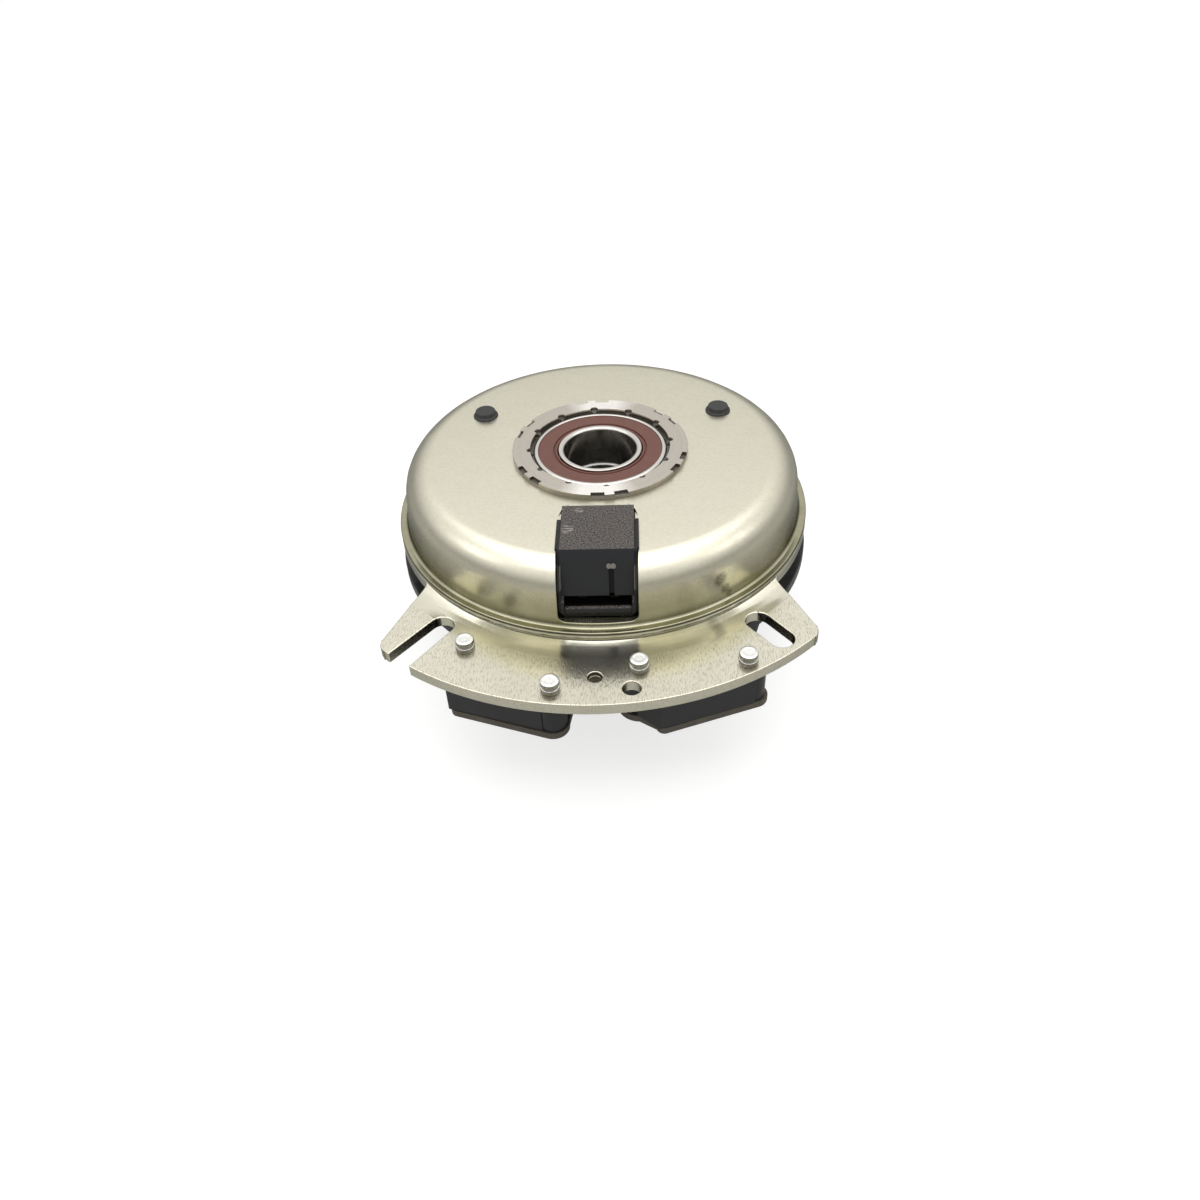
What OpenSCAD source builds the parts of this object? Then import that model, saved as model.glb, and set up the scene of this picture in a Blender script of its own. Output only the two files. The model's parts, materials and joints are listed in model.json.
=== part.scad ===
// Electric PTO clutch with a permanent-magnet brake, field side up.
// The origin is on the shaft axis, in the plane that the pulley stands on.
// +Z runs up the shaft towards the field, and the mounting ears point to -Y.

/* [Crankshaft] */
// Bore through the bearing and the rotor hub
bore_d = 25.4; // [20:0.1:26.5]
// Width of the square key
key_w = 6.35; // [4:0.05:8]
// Depth of the keyway below the wall of the bore
key_depth = 2.9; // [1.5:0.1:3.4]

/* [Field bearing] */
// Outside diameter of the bearing that carries the field
fb_od = 47; // [46:0.5:52]
// Width of that bearing
fb_w = 15; // [12:0.5:16]
// Radius of its balls
fb_ball_r = 3.97; // [3.4:0.01:4]
// Number of its balls
fb_balls = 9; // [6:1:9]

/* [Pulley bearing] */
// Bore of the bearing that carries the pulley, and seat on the rotor hub
pb_bore = 35; // [35:0.5:37]
// Outside diameter of that bearing
pb_od = 62; // [60:0.5:64]
// Width of that bearing
pb_w = 14; // [14:0.5:16]
// Radius of its balls
pb_ball_r = 4.2; // [3.5:0.01:4.3]
// Number of its balls
pb_balls = 10; // [6:1:11]

/* [Field shell] */
// Radius of the drawn cup below its shoulder
cup_r = 69.6; // [68:0.1:72]
// Height of the cup above the mounting plate
cup_h = 23; // [23:0.5:28]
// Thickness of the cup's sheet
cup_t = 3.2; // [2:0.1:3.6]
// Radius of the rounded shoulder
shoulder_r = 10; // [6:0.5:12]
// How much the wall widens down to the lip
cup_draft = 1.0; // [0.2:0.1:1.6]
// Reach of the lip beyond the foot of the wall
lip_reach = 2.9; // [2:0.1:4]
// Thickness of the lip
lip_t = 2.2; // [1.6:0.1:3]
// Radius of the hollow between wall and lip
lip_fillet = 2; // [1:0.1:2.4]

/* [Field hub] */
// Radius of the hub's flange on top of the cup
flange_r = 30.8; // [29:0.1:32]
// Height of that flange
flange_t = 2; // [1.2:0.1:3]
// Outside radius of the hub's tube, the inner pole
pole_tube_r = 27; // [26.5:0.1:28]
// Depth of the bearing below the hub's face
bearing_sunk = 1.1; // [0.6:0.1:1.6]
// Punch marks round the bearing
inner_stakes = 12; // [6:1:16]
// Pairs of stakes round the flange
outer_stakes = 6; // [3:1:8]
// Angle between the two stakes of a pair
stake_pair_angle = 15; // [12:1:24]

/* [Mounting plate] */
// Thickness of the plate
plate_t = 4; // [3:0.1:5]
// How far the plate's front edge stands out past the brakes' faces
plate_margin = 1.0; // [0.4:0.1:3]
// Distance of that arc's centre in front of the axis
plate_arc_y = 2.5; // [1:0.5:4]
// Distance of that arc's centre towards the open slot
plate_arc_x = 1.9; // [0:0.1:3]
// Angle from the front at which the ears leave the ring
ear_root_angle = 52.54; // [50:0.01:55]
// Angle by which the ear with the open slot leans out
ear_lean_open = 20.8; // [16:0.1:24]
// Angle by which the ear with the closed slot leans out
ear_lean_closed = 23.5; // [18:0.1:26]
// Rounding of the ears' outer corners
ear_round = 4.5; // [2:0.5:6]
// Width of the two torque slots
slot_w = 8.2; // [6:0.1:9]
// Distance of each slot's inner end from the cup's lip
slot_from_lip = 9.7; // [8:0.1:12]
// Length of the closed slot between its end centres
slot_len = 10.5; // [6:0.5:12]
// How much the open slot widens towards its mouth
slot_flare = 1.0; // [0:0.1:2]
// Angle of each slot from the front
slot_angle = 37.5; // [35:0.5:39]
// Diameter of the through hole near the front edge
tab_hole_d = 5.6; // [4:0.1:7]
// Diameter of the blind pilot hole
pilot_hole_d = 4.3; // [3:0.1:5]
// Depth of the blind pilot hole
pilot_depth = 1.6; // [1:0.1:2.4]
// Depth of the dished strip in the plate next to the cup
dish_deep = 0.25; // [0.1:0.05:0.4]
// Width of the dished strip
dish_w = 8.5; // [6:0.5:8.5]

/* [Magnet brakes] */
// Angle of the first brake from the front
brake_angle_a = -17.8; // [-22:0.1:-16]
// Angle of the second brake from the front
brake_angle_b = 19.6; // [18:0.1:22]
// Depth of a brake from its inner arc to its flat face
brake_depth = 22.6; // [21:0.1:24]
// Half length of that face
brake_half = 15.9; // [15:0.1:16.5]
// Clearance between the armature and a brake's inner arc
brake_clear = 2; // [1.5:0.1:4]
// How far the pole plate reaches in below the armature
pole_under = 8; // [6:0.5:10]
// Thickness of the pole plate
pole_t = 2.5; // [2:0.1:4]
// Radius of the rivets' shanks
rivet_r = 2.2; // [1.6:0.1:2.4]
// Length of the magnets
magnet_l = 20; // [12:0.5:22]
// Depth of the magnets
magnet_d = 11; // [6:0.5:12]

/* [Armature and rotor] */
// How far the armature reaches out past the rotor's disc
arm_reach = 3.6; // [2:0.1:5]
// Thickness of the armature
arm_t = 4; // [3:0.1:6]
// Inner radius of the armature
arm_in_r = 30; // [26:0.5:34]
// Gap between armature and rotor when the brake holds
air_gap = 0.5; // [0.5:0.05:0.9]
// Gap between armature and pole plates when the brake holds
brake_gap = 0.2; // [0.15:0.05:0.4]
// Thickness of the rotor's disc
rotor_t = 5; // [4:0.1:6]
// How far the rotor's disc reaches out past its rim
rotor_reach = 4.4; // [2:0.1:6]
// Radial gap between the rotor's rim and the plate
pole_gap = 0.6; // [0.4:0.05:1]
// Thickness of the rotor's rim
rim_t = 3.5; // [2.5:0.1:4]
// Middle radius of the flux slots
flux_slot_r = 46; // [42:0.5:50]
// Width of the flux slots
flux_slot_w = 4; // [3:0.1:6]
// Number of flux slots
flux_slots = 4; // [3:1:6]
// Angle of steel left between two flux slots
flux_bridge = 14; // [8:1:20]

/* [Pulley] */
// Radius of the pulley's flanges
pulley_r = 61; // [58:0.1:61.4]
// Height of the pulley
pulley_h = 26.8; // [26:0.1:30]
// Width of the belt groove at the flanges
groove_w = 16.5; // [13:0.1:18]
// Depth of the belt groove
groove_depth = 11; // [8:0.5:11.5]
// Half angle of the belt groove
groove_angle = 18; // [16:0.5:20]
// Inner radius of the pulley's rim
rim_in_r = 46.5; // [44:0.5:47]
// Thickness of the pulley's web
web_t = 5; // [4:0.5:7]
// Outer radius of the pulley's bearing boss
boss_r = 36; // [34.5:0.5:40]
// Number of leaf springs
springs = 3; // [3:1:4]
// Distance of the spring rivets from the axis
spring_pcd_r = 45; // [43:0.5:46]
// Width of the leaf springs
spring_w = 10; // [8:0.5:12]
// Thickness of the leaf springs
spring_t = 0.8; // [0.5:0.1:1.2]
// Angle that each leaf spring spans
spring_span = 62; // [50:1:70]

/* [Coil and connector] */
// Room between the coil bobbin and the rotor's rim
potting_wall = 6.5; // [4:0.5:10]
// Thickness of the bobbin's walls
bobbin_t = 1.6; // [1:0.1:2.4]
// Width of the connector's raised block
conn_w = 23.4; // [20:0.1:24]
// Width of the cut-out in the cup
cutout_w = 25.4; // [25:0.1:27]
// Height of the block above the top of the cup
conn_proud = 2; // [1:0.1:3]
// Length of the block's top
conn_len = 23.2; // [20:0.1:25]
// Distance of the block's top front edge inside the cup's wall
conn_inset = 9.9; // [8:0.1:12]
// Distance of the mouth's upper edge inside the cup's wall
mouth_inset = 5.5; // [4:0.1:7]
// Height of the mouth
mouth_h = 4.7; // [4.5:0.1:5]
// Distance of the vent plugs inside the cup's wall
plug_inset = 19.9; // [18:0.1:23]
// Angle of the vent plugs from the front
plug_angle = 120; // [110:0.5:125]
// Radius of the vent plugs' buttons
plug_r = 3.7; // [3:0.1:4.5]

/* [Hidden] */
$fn = 96;

// Small amount by which a cut runs past the face that it opens
over = 1;
// Step left where a rounded end meets an arc, so that the two cross and don't just touch
step = 0.02;
// Clearance of a turning piece beside a fixed one
run_gap = 0.6;
// Clearance of a ball in its races
ball_gap = 0.08;
// Clearance between the cast resin and the cup's wall
cast_gap = 0.1;

// Heights, stacked up from the pulley's standing face
pole_rise = 4.3;
plate_rise = 1.7;
coil_rise = 2.7;
coil_drop = 4.3;
pole_z1 = pulley_h + pole_rise;
pole_z0 = pole_z1 - pole_t;
arm_z0 = pole_z1 + brake_gap;
arm_z1 = arm_z0 + arm_t;
rotor_z0 = arm_z1 + air_gap;
rotor_z1 = rotor_z0 + rotor_t;
plate_z0 = rotor_z1 + plate_rise;
plate_z1 = plate_z0 + plate_t;
cup_z1 = plate_z1 + cup_h;
cup_in_z = cup_z1 - cup_t;
flange_z = cup_z1 + flange_t;
fb_z1 = flange_z - bearing_sunk;
fb_z0 = fb_z1 - fb_w;

// Radii of the drawn cup and of the rotor's rim inside it
cup_foot_r = cup_r + cup_draft;
cup_foot_in_r = cup_foot_r - cup_t;
lip_r = cup_foot_r + lip_reach;
plate_in_step = 0.8;
plate_in_r = cup_foot_in_r - plate_in_step;
rim_r = plate_in_r - pole_gap;
rim_rise = 0.4;
rim_z1 = plate_z1 + rim_rise;
rotor_r = rim_r + rotor_reach;
arm_r = rotor_r + arm_reach;

// Radii of the brakes round the armature, and of the plate's edge over them
brake_in_r = arm_r + brake_clear;
brake_face = brake_in_r + brake_depth;
pole_in_r = arm_r - pole_under;
plate_arc_r = brake_face + plate_margin;
slot_inner_r = lip_r + slot_from_lip;

// Roots of the ears, just inside the ring's edge
ear_root_sunk = 0.18;
ear_root_r = lip_r - ear_root_sunk;
ear_root_x = ear_root_r * sin(ear_root_angle);
ear_root_y = ear_root_r * cos(ear_root_angle);
ear_root_fillet_r = 3.5;

// Dished strip: middle radius, and the radius of its section
dish_mid_r = lip_r + 0.5 + dish_w / 2;
dish_section_r = (pow(dish_w / 2, 2) + pow(dish_deep, 2)) / (2 * dish_deep);

// Places of the two small holes in the plate, in from its front edge
tab_hole_x = 10.3;
tab_hole_in = 7;
pilot_hole_x = 0.8;
pilot_hole_in = 11.8;
plate_front = plate_arc_r + plate_arc_y;
tab_hole = [tab_hole_x, tab_hole_in - plate_front];
pilot_hole = [-pilot_hole_x, pilot_hole_in - plate_front];
slot_run = 40;

// Bearing details shared by their pieces
bore_r = bore_d / 2;
fb_r = fb_od / 2;
fb_pitch_r = (bore_r + fb_r) / 2;
fb_land = 3.4;
pb_bore_r = pb_bore / 2;
pb_r = pb_od / 2;
pb_pitch_r = (pb_bore_r + pb_r) / 2;
pb_land = 2.9;
pb_z0 = 6.5;
pb_z1 = pb_z0 + pb_w;
seal_t = 0.9;
seal_lip_gap = 0.3;
cage_over = 0.7;

// Rotor hub
hub_z0 = 0;
boss_z0 = 3.5;
hub_wall = 7;
hub_pole_r = bore_r + hub_wall;
hub_tube_in_r = hub_pole_r + run_gap;
hub_nose_r = fb_pitch_r - fb_land + 0.4;
hub_nose_h = 1;
hub_shoulder_r = pb_bore_r + 4;
snap_t = 1.5;
snap_depth = 1;

// Coil, under the dome and round the field hub's tube
coil_z0 = rotor_z1 + coil_rise;
coil_z1 = cup_in_z - coil_drop;
coil_in_r = pole_tube_r + 0.4;
bobbin_r = rim_r - rim_t - potting_wall;
potting_r = rim_r - rim_t - 1;
potting_z0 = rim_z1 + 1;

// Connector housing in the cup's front shoulder
mouth_rise = 5.1;
mouth_z0 = plate_z1 + mouth_rise;
mouth_y = cup_r - mouth_inset;
conn_front = cup_r - conn_inset;
conn_back = conn_front - conn_len;
plug_pcd_r = cup_r - plug_inset;
mouth_z1 = mouth_z0 + mouth_h;
conn_z0 = mouth_z0 - 3;
conn_z1 = cup_z1 + conn_proud;
conn_shelf_z = coil_z1 + 2;
socket_back = mouth_y - 5.4;
socket_w = conn_w - 2;
conn_lip_y = mouth_y + 3.1;
window_z = mouth_z0 - 1.4;
conn_front_in = mouth_y - 6.5;
conn_rim_t = 0.9;
cutout_gap = 0.2;
window_corner = 2.5;
conn_wall_y = sqrt(pow(cup_r - cup_t, 2) - pow(cutout_w / 2, 2)) - cutout_gap;
conn_rim_w = cutout_w + 1;
blade_w = 2.8;
blade_t = 0.8;
blade_x = 5;
blade_reach = 3;

// Brakes, each in a frame of its own with the front face at brake_face
rivet_a_x = 16.75;
rivet_a_in = 13.9;
rivet_b_x = 15.3;
rivet_b_in = 4.6;
rivet_a = [-rivet_a_x, brake_face - rivet_a_in];
rivet_b = [rivet_b_x, brake_face - rivet_b_in];
// Shift of each body along its face, and its rounded end as place and radius
brake_shift_a = -2.3;
brake_shift_b = 0.4;
spacer_end_a = [rivet_b_x, rivet_b[1], 4.5];
spacer_end_b = [rivet_b_x + 2.1, rivet_b[1], 3.9];
pole_end_a = [rivet_b_x, rivet_b[1], 5.1];
pole_end_b = [rivet_b_x + 2.7, rivet_b[1] + 0.2, 4.3];
spacer_boss = 6;
pole_boss = 7;
spacer_step = 2.6;
head_r = 2.75;
collar_r = 3.05;
collar_t = 1.1;
head_t = 3.1;
tail_r = 3.2;
tail_t = 1;
magnet_mid = (brake_in_r + brake_face) / 2;

// Leaf springs between the armature and bosses on the pulley
spring_z1 = arm_z0;
spring_z0 = spring_z1 - spring_t;
spring_boss_r = 6.5;
spring_rivet_r = 2;
spring_head_r = 3.6;
spring_head_t = 1.2;
web_z0 = 9;
groove_z = pulley_h / 2;
groove_floor_w = groove_w - 2 * groove_depth * tan(groove_angle);

// Solid of revolution about the shaft from an outline in radius and height
module turned() {
    rotate_extrude() children();
}

// Flat ring between two radii and two heights
module ring(r0, r1, z0, z1) {
    difference() {
        translate([0, 0, z0]) cylinder(r = r1, h = z1 - z0);
        translate([0, 0, z0 - over]) cylinder(r = r0, h = z1 - z0 + 2 * over);
    }
}

// Copies of a shape at equal steps round the shaft
module around(n, start = 0) {
    for (i = [0:n - 1]) rotate([0, 0, start + i * 360 / n]) children();
}

// Turns a shape drawn at the front, -Y, to an angle from the front
module at_angle(a) {
    rotate([0, 0, a]) children();
}

// Outline of the drawn cup's outside, down to its foot
module cup_outline(r, foot, top, corner) {
    union() {
        polygon([[0, plate_z1], [foot, plate_z1], [foot, plate_z1 + lip_t],
            [r, top - corner], [0, top - corner]]);
        translate([0, plate_z1]) square([r - corner, top - plate_z1]);
        translate([r - corner, top - corner]) circle(r = corner);
    }
}

module cup_lip_outline() {
    difference() {
        union() {
            translate([cup_foot_in_r, plate_z1]) square([lip_r - lip_t / 2 - cup_foot_in_r, lip_t]);
            translate([lip_r - lip_t / 2, plate_z1 + lip_t / 2]) circle(r = lip_t / 2);
            translate([cup_foot_r - cup_t / 2, plate_z1 + lip_t / 2])
                square([cup_t / 2 + lip_fillet, lip_fillet + lip_t / 2]);
        }
        translate([cup_foot_r + lip_fillet, plate_z1 + lip_t + lip_fillet]) circle(r = lip_fillet);
    }
}

module cutout_box() {
    cut_z = window_z;
    corner = window_corner;
    // Window in the wall, rounded at its lower corners
    translate([-cutout_w / 2, -lip_r, cut_z + corner])
        cube([cutout_w, lip_r - conn_back, cup_z1 - cut_z]);
    translate([-cutout_w / 2 + corner, -lip_r, cut_z])
        cube([cutout_w - 2 * corner, lip_r - conn_back, corner + over]);
    for (s = [-1, 1])
        translate([s * (cutout_w / 2 - corner), -lip_r, cut_z + corner])
            rotate([-90, 0, 0]) cylinder(r = corner, h = lip_r - conn_back);
}

module field_cup() {
    color("#c9c7b2")
    difference() {
        turned() difference() {
            union() {
                cup_outline(cup_r, cup_foot_r, cup_z1, shoulder_r);
                cup_lip_outline();
            }
            translate([0, -over]) cup_outline(cup_r - cup_t, cup_foot_in_r, cup_in_z + over,
                shoulder_r - cup_t);
            translate([0, plate_z1 - over]) square([pole_tube_r, cup_h + 2 * over]);
        }
        cutout_box();
        for (s = [-1, 1]) at_angle(s * plug_angle)
            translate([0, -plug_pcd_r, cup_in_z - over])
                cylinder(r = plug_r - 0.9, h = cup_t + 2 * over);
    }
}

// Half of the plate's flat outline: the ear on the +X side, its outer corner rounded by
// an arc that touches both the straight side and the front arc
module ear_outline(lean, shift) {
    root = [ear_root_x, -ear_root_y];
    side = [sin(lean), -cos(lean)];
    inward = [side[1], -side[0]];
    hub = [shift, -plate_arc_y];
    beyond = plate_arc_r * 1.2;
    from_hub = root + ear_round * inward - hub;
    along = from_hub * side;
    reach = sqrt(along * along - from_hub * from_hub + pow(plate_arc_r - ear_round, 2)) - along;
    centre = root + ear_round * inward + reach * side;
    tangent = centre - ear_round * inward;
    outside = hub + (centre - hub) * (plate_arc_r + 2) / (plate_arc_r - ear_round);
    union() {
        intersection() {
            translate(hub) circle(r = plate_arc_r);
            polygon(concat([[0, 0], [0, -beyond], [outside[0], -beyond], outside, centre, tangent],
                hollow(lean)));
        }
        translate(centre) circle(r = ear_round - step);
    }
}

// Centre of the hollow fillet between the ring and an ear's straight side
function hollow_centre(lean) =
    let (side = [sin(lean), -cos(lean)],
        start = [ear_root_x, -ear_root_y] + ear_root_fillet_r * [cos(lean), sin(lean)],
        along = start * side,
        reach = sqrt(along * along - start * start + pow(lip_r + ear_root_fillet_r, 2)) - along)
    start + reach * side;

// Points along that fillet, from the ear's side to just inside the ring's edge
function hollow(lean) =
    let (centre = hollow_centre(lean),
        steps = 6,
        from = 180 + lean,
        to = atan2(-centre[1], -centre[0]))
    concat([for (i = [0:steps - 1]) let (a = from + (to - from) * i / steps)
        centre + ear_root_fillet_r * [cos(a), sin(a)]],
        [centre * (lip_r - 0.3) / norm(centre)]);

module slot_shape(length, flare) {
    polygon([[-slot_w / 2, -slot_inner_r], [slot_w / 2, -slot_inner_r],
        [slot_w / 2 + flare, -slot_inner_r - length], [-slot_w / 2, -slot_inner_r - length]]);
    translate([0, -slot_inner_r]) circle(d = slot_w);
}

module mounting_plate() {
    color("#cdcab4")
    difference() {
        union() {
            translate([0, 0, plate_z0]) linear_extrude(plate_t) difference() {
                union() {
                    circle(r = lip_r);
                    ear_outline(ear_lean_closed, -plate_arc_x);
                    mirror([1, 0]) ear_outline(ear_lean_open, plate_arc_x);
                }
                circle(r = plate_in_r);
                translate(tab_hole) circle(d = tab_hole_d);
                brake_places() for (p = [rivet_a, rivet_b])
                    translate([p[0], -p[1]]) circle(r = rivet_r);
                at_angle(-slot_angle) slot_shape(slot_run, slot_flare * 2);
                at_angle(slot_angle) {
                    slot_shape(slot_len, 0);
                    translate([0, -slot_inner_r - slot_len]) circle(d = slot_w);
                }
            }
        }
        translate([pilot_hole[0], pilot_hole[1], plate_z1 - pilot_depth])
            cylinder(d = pilot_hole_d, h = pilot_depth + over);
        // Strip beside the cup, dished by a round section
        rotate_extrude() translate([dish_mid_r, plate_z1 - dish_deep + dish_section_r])
            circle(r = dish_section_r);
    }
}

// Both places of a brake, drawn in its own frame at the front
module brake_places() {
    at_angle(brake_angle_a) children();
    at_angle(brake_angle_b) children();
}

module rivet_holes(z, h) {
    for (p = [rivet_a, rivet_b])
        translate([p[0], -p[1], z]) cylinder(r = rivet_r, h = h);
}

// Turned pole with the bearing's seat. A recess leaves a groove beside the bearing's ring,
// and punched tongues of metal reach over it
module field_hub() {
    recess_r = fb_r + 1.1;
    recess_z = fb_z1 - 0.5;
    stake_r = 1.3;
    tongue_r = 1;
    stake_w = 4.6;
    stake_d = 1.6;
    stake_deep = 0.9;
    color("#b9b6b0")
    difference() {
        union() {
            turned() difference() {
                union() {
                    translate([0, coil_z0 - 1]) square([pole_tube_r, flange_z - coil_z0 + 1]);
                    translate([0, cup_z1]) square([flange_r, flange_t]);
                }
                translate([0, coil_z0 - 2]) square([hub_tube_in_r, flange_z]);
                translate([0, fb_z0]) square([fb_r, fb_w + 2 * over]);
                translate([0, recess_z]) square([recess_r, flange_z]);
            }
            around(inner_stakes, 6) translate([0, -recess_r + 0.1, recess_z - 0.3])
                cylinder(r = tongue_r, h = flange_z - stake_deep - recess_z + 0.3);
        }
        translate([0, 0, fb_z0]) cylinder(r = fb_r, h = fb_w + 2 * over);
        around(inner_stakes, 6) translate([0, -recess_r, flange_z - stake_deep])
            cylinder(r = stake_r, h = stake_deep + over);
        around(outer_stakes, 7) for (s = [-1, 1]) rotate([0, 0, s * stake_pair_angle / 2])
            translate([-stake_w / 2, -flange_r - over, flange_z - stake_deep])
                cube([stake_w, stake_d + over, stake_deep + over]);
    }
}

module coil_bobbin() {
    color("#2b2b2d")
    turned() {
        translate([coil_in_r, coil_z0]) square([bobbin_t, coil_z1 - coil_z0]);
        for (z = [coil_z0, coil_z1 - bobbin_t])
            translate([coil_in_r, z]) square([bobbin_r - coil_in_r, bobbin_t]);
    }
}

module coil_winding() {
    color("#b46a3c")
    ring(coil_in_r + bobbin_t, bobbin_r - 1.5, coil_z0 + bobbin_t, coil_z1 - bobbin_t);
}

// Space that the connector's housing takes up, with a clearance all round
module connector_envelope(gap) {
    w = cutout_w + 2 * gap;
    translate([-w / 2, -lip_r, conn_z0 - gap])
        cube([w, lip_r - conn_front_in + gap, cup_z1 - conn_z0 + gap]);
    translate([-w / 2, -lip_r, conn_shelf_z - gap])
        cube([w, lip_r - conn_back + gap, cup_z1 - conn_shelf_z + gap]);
}

module coil_potting() {
    color("#3a3836")
    difference() {
        turned() difference() {
            intersection() {
                cup_outline(cup_r - cup_t - cast_gap, cup_foot_in_r - cast_gap, cup_in_z,
                    shoulder_r - cup_t);
                union() {
                    translate([0, potting_z0]) square([potting_r, cup_h]);
                    translate([0, potting_z0 + 2]) square([cup_r + 5, cup_h]);
                }
            }
            translate([0, potting_z0 - over]) square([bobbin_r, coil_z1 - potting_z0 + over]);
            translate([0, potting_z0 - over]) square([pole_tube_r, cup_h + over]);
        }
        connector_envelope(0);
    }
}

module connector_housing() {
    lean = atan((mouth_y - conn_front) / (conn_z1 - mouth_z1));
    seam = 0.01;
    side_t = 1;
    latch_x = 4.4;
    latch_h = 10.2;
    shroud_x = cutout_w / 2 - cutout_gap;
    shroud_z = window_z + cutout_gap;
    shroud_corner = 1.9;
    color("#343436")
    difference() {
        union() {
            // Raised block with its front face leaning out down to the mouth
            translate([-conn_w / 2, 0, 0]) rotate([90, 0, 90]) linear_extrude(conn_w)
                polygon([[-conn_back, conn_z1], [-conn_front, conn_z1], [-mouth_y, mouth_z1],
                    [-mouth_y, mouth_z1 - seam], [-conn_front_in, mouth_z1 - seam],
                    [-conn_front_in, conn_shelf_z], [-conn_back, conn_shelf_z]]);
            // Shroud of the socket between the cut-out's edges, and its foot behind the cup's wall
            translate([0, -conn_front_in, 0]) rotate([90, 0, 0])
                linear_extrude(conn_lip_y - conn_front_in) polygon([[-shroud_x, mouth_z1],
                    [-shroud_x, shroud_z + shroud_corner], [-shroud_x + shroud_corner, shroud_z],
                    [shroud_x - shroud_corner, shroud_z], [shroud_x, shroud_z + shroud_corner],
                    [shroud_x, mouth_z1]]);
            translate([-shroud_x, -conn_wall_y, conn_z0])
                cube([2 * shroud_x, conn_wall_y - conn_front_in, mouth_z1 - conn_z0]);
            // Side walls that fill the cut-out beside the block
            for (s = [-1, 1]) translate([s * (cutout_w / 2 - cutout_gap - side_t / 2) - side_t / 2, 0, 0])
                rotate([90, 0, 90]) linear_extrude(side_t)
                    polygon([[-conn_back - 6, cup_z1 + conn_rim_t],
                        [-conn_front + 1, cup_z1 + conn_rim_t],
                        [-conn_lip_y + 1, mouth_z1 + 4], [-conn_lip_y, mouth_z1 - 1],
                        [-conn_front_in, mouth_z1 - 1], [-conn_front_in, conn_shelf_z],
                        [-conn_back - 6, conn_shelf_z]]);
            // Flat ribs that rest on the cup beside the block
            for (s = [-1, 1]) translate([s * (conn_rim_w / 2 - 1) - 1, -conn_front + 2, cup_z1])
                cube([2, conn_front - conn_back - 8, conn_rim_t]);
            // Oval latch stud on the leaning face
            translate([latch_x, -mouth_y, mouth_z1]) rotate([-lean, 0, 0])
                for (s = [-1, 1]) translate([s * 0.7, 1, latch_h]) rotate([90, 0, 0])
                    cylinder(r = 0.85, h = 1.7);
        }
        // Socket, open at the mouth
        translate([-socket_w / 2, -conn_lip_y - over, mouth_z0])
            cube([socket_w, conn_lip_y - socket_back + over, mouth_h]);
        // Groove in the leaning face below the stud
        translate([latch_x, -mouth_y, mouth_z1]) rotate([-lean, 0, 0])
            translate([-0.8, -3, -2]) cube([1.6, 4.2, latch_h + 0.8]);
        // Slots that hold the two blades
        for (s = [-1, 1]) translate([s * blade_x - blade_w / 2, -socket_back - over,
            (mouth_z0 + mouth_z1) / 2 - blade_t / 2])
            cube([blade_w, 1 + over, blade_t]);
    }
}

module connector_terminals() {
    color("#c8b98a")
    for (s = [-1, 1]) translate([s * blade_x - blade_w / 2, -socket_back - blade_reach,
        (mouth_z0 + mouth_z1) / 2 - blade_t / 2])
        cube([blade_w, 1 + blade_reach, blade_t]);
}

module vent_plugs() {
    base_t = 0.8;
    button_h = 2.2;
    color("#26262a")
    for (s = [-1, 1]) at_angle(s * plug_angle) translate([0, -plug_pcd_r, 0]) {
        translate([0, 0, cup_in_z]) cylinder(r = plug_r - 0.9, h = cup_t);
        translate([0, 0, cup_z1]) cylinder(r = plug_r + 0.9, h = base_t);
        translate([0, 0, cup_z1]) cylinder(r = plug_r, h = button_h);
    }
}

// Groove that a row of balls runs in, as a circle in the turned outline
module race(pitch, ball_r, z) {
    translate([pitch, z]) circle(r = ball_r + ball_gap);
}

module inner_race(r0, pitch, land, z0, w, ball_r) {
    turned() difference() {
        translate([r0, z0]) square([pitch - land - r0, w]);
        race(pitch, ball_r, z0 + w / 2);
    }
}

module outer_race(r1, pitch, land, z0, w, ball_r) {
    turned() difference() {
        translate([pitch + land, z0]) square([r1 - pitch - land, w]);
        race(pitch, ball_r, z0 + w / 2);
    }
}

module ball_row(pitch, z, ball_r, n) {
    around(n) translate([0, pitch, z]) sphere(r = ball_r);
}

module ball_cage(pitch, z, ball_r, n, half) {
    wall = 1;
    difference() {
        ring(pitch - wall, pitch + wall, z - half, z + half);
        around(n) translate([0, pitch + 2 * wall, z]) rotate([90, 0, 0])
            cylinder(r = ball_r + ball_gap, h = 4 * wall);
    }
}

module seal_pair(pitch, land, z0, w) {
    for (z = [z0 + 0.3, z0 + w - 0.3 - seal_t])
        ring(pitch - land + seal_lip_gap, pitch + land, z, z + seal_t);
}

module field_bearing_outer_ring() {
    color("#c9c9c7") outer_race(fb_r, fb_pitch_r, fb_land + 0.3, fb_z0, fb_w, fb_ball_r);
}

module field_bearing_inner_ring() {
    color("#d6d3ce") inner_race(bore_r, fb_pitch_r, fb_land, fb_z0, fb_w, fb_ball_r);
}

module field_bearing_seals() {
    color("#6f4238") seal_pair(fb_pitch_r, fb_land + 0.3, fb_z0, fb_w);
}

module field_bearing_balls() {
    color("#dcdcdc") ball_row(fb_pitch_r, fb_z0 + fb_w / 2, fb_ball_r, fb_balls);
}

module field_bearing_cage() {
    color("#8d8f92")
    ball_cage(fb_pitch_r, fb_z0 + fb_w / 2, fb_ball_r, fb_balls, fb_ball_r + cage_over);
}

module pulley_bearing_outer_ring() {
    color("#c9c9c7") outer_race(pb_r, pb_pitch_r, pb_land + 0.3, pb_z0, pb_w, pb_ball_r);
}

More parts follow.
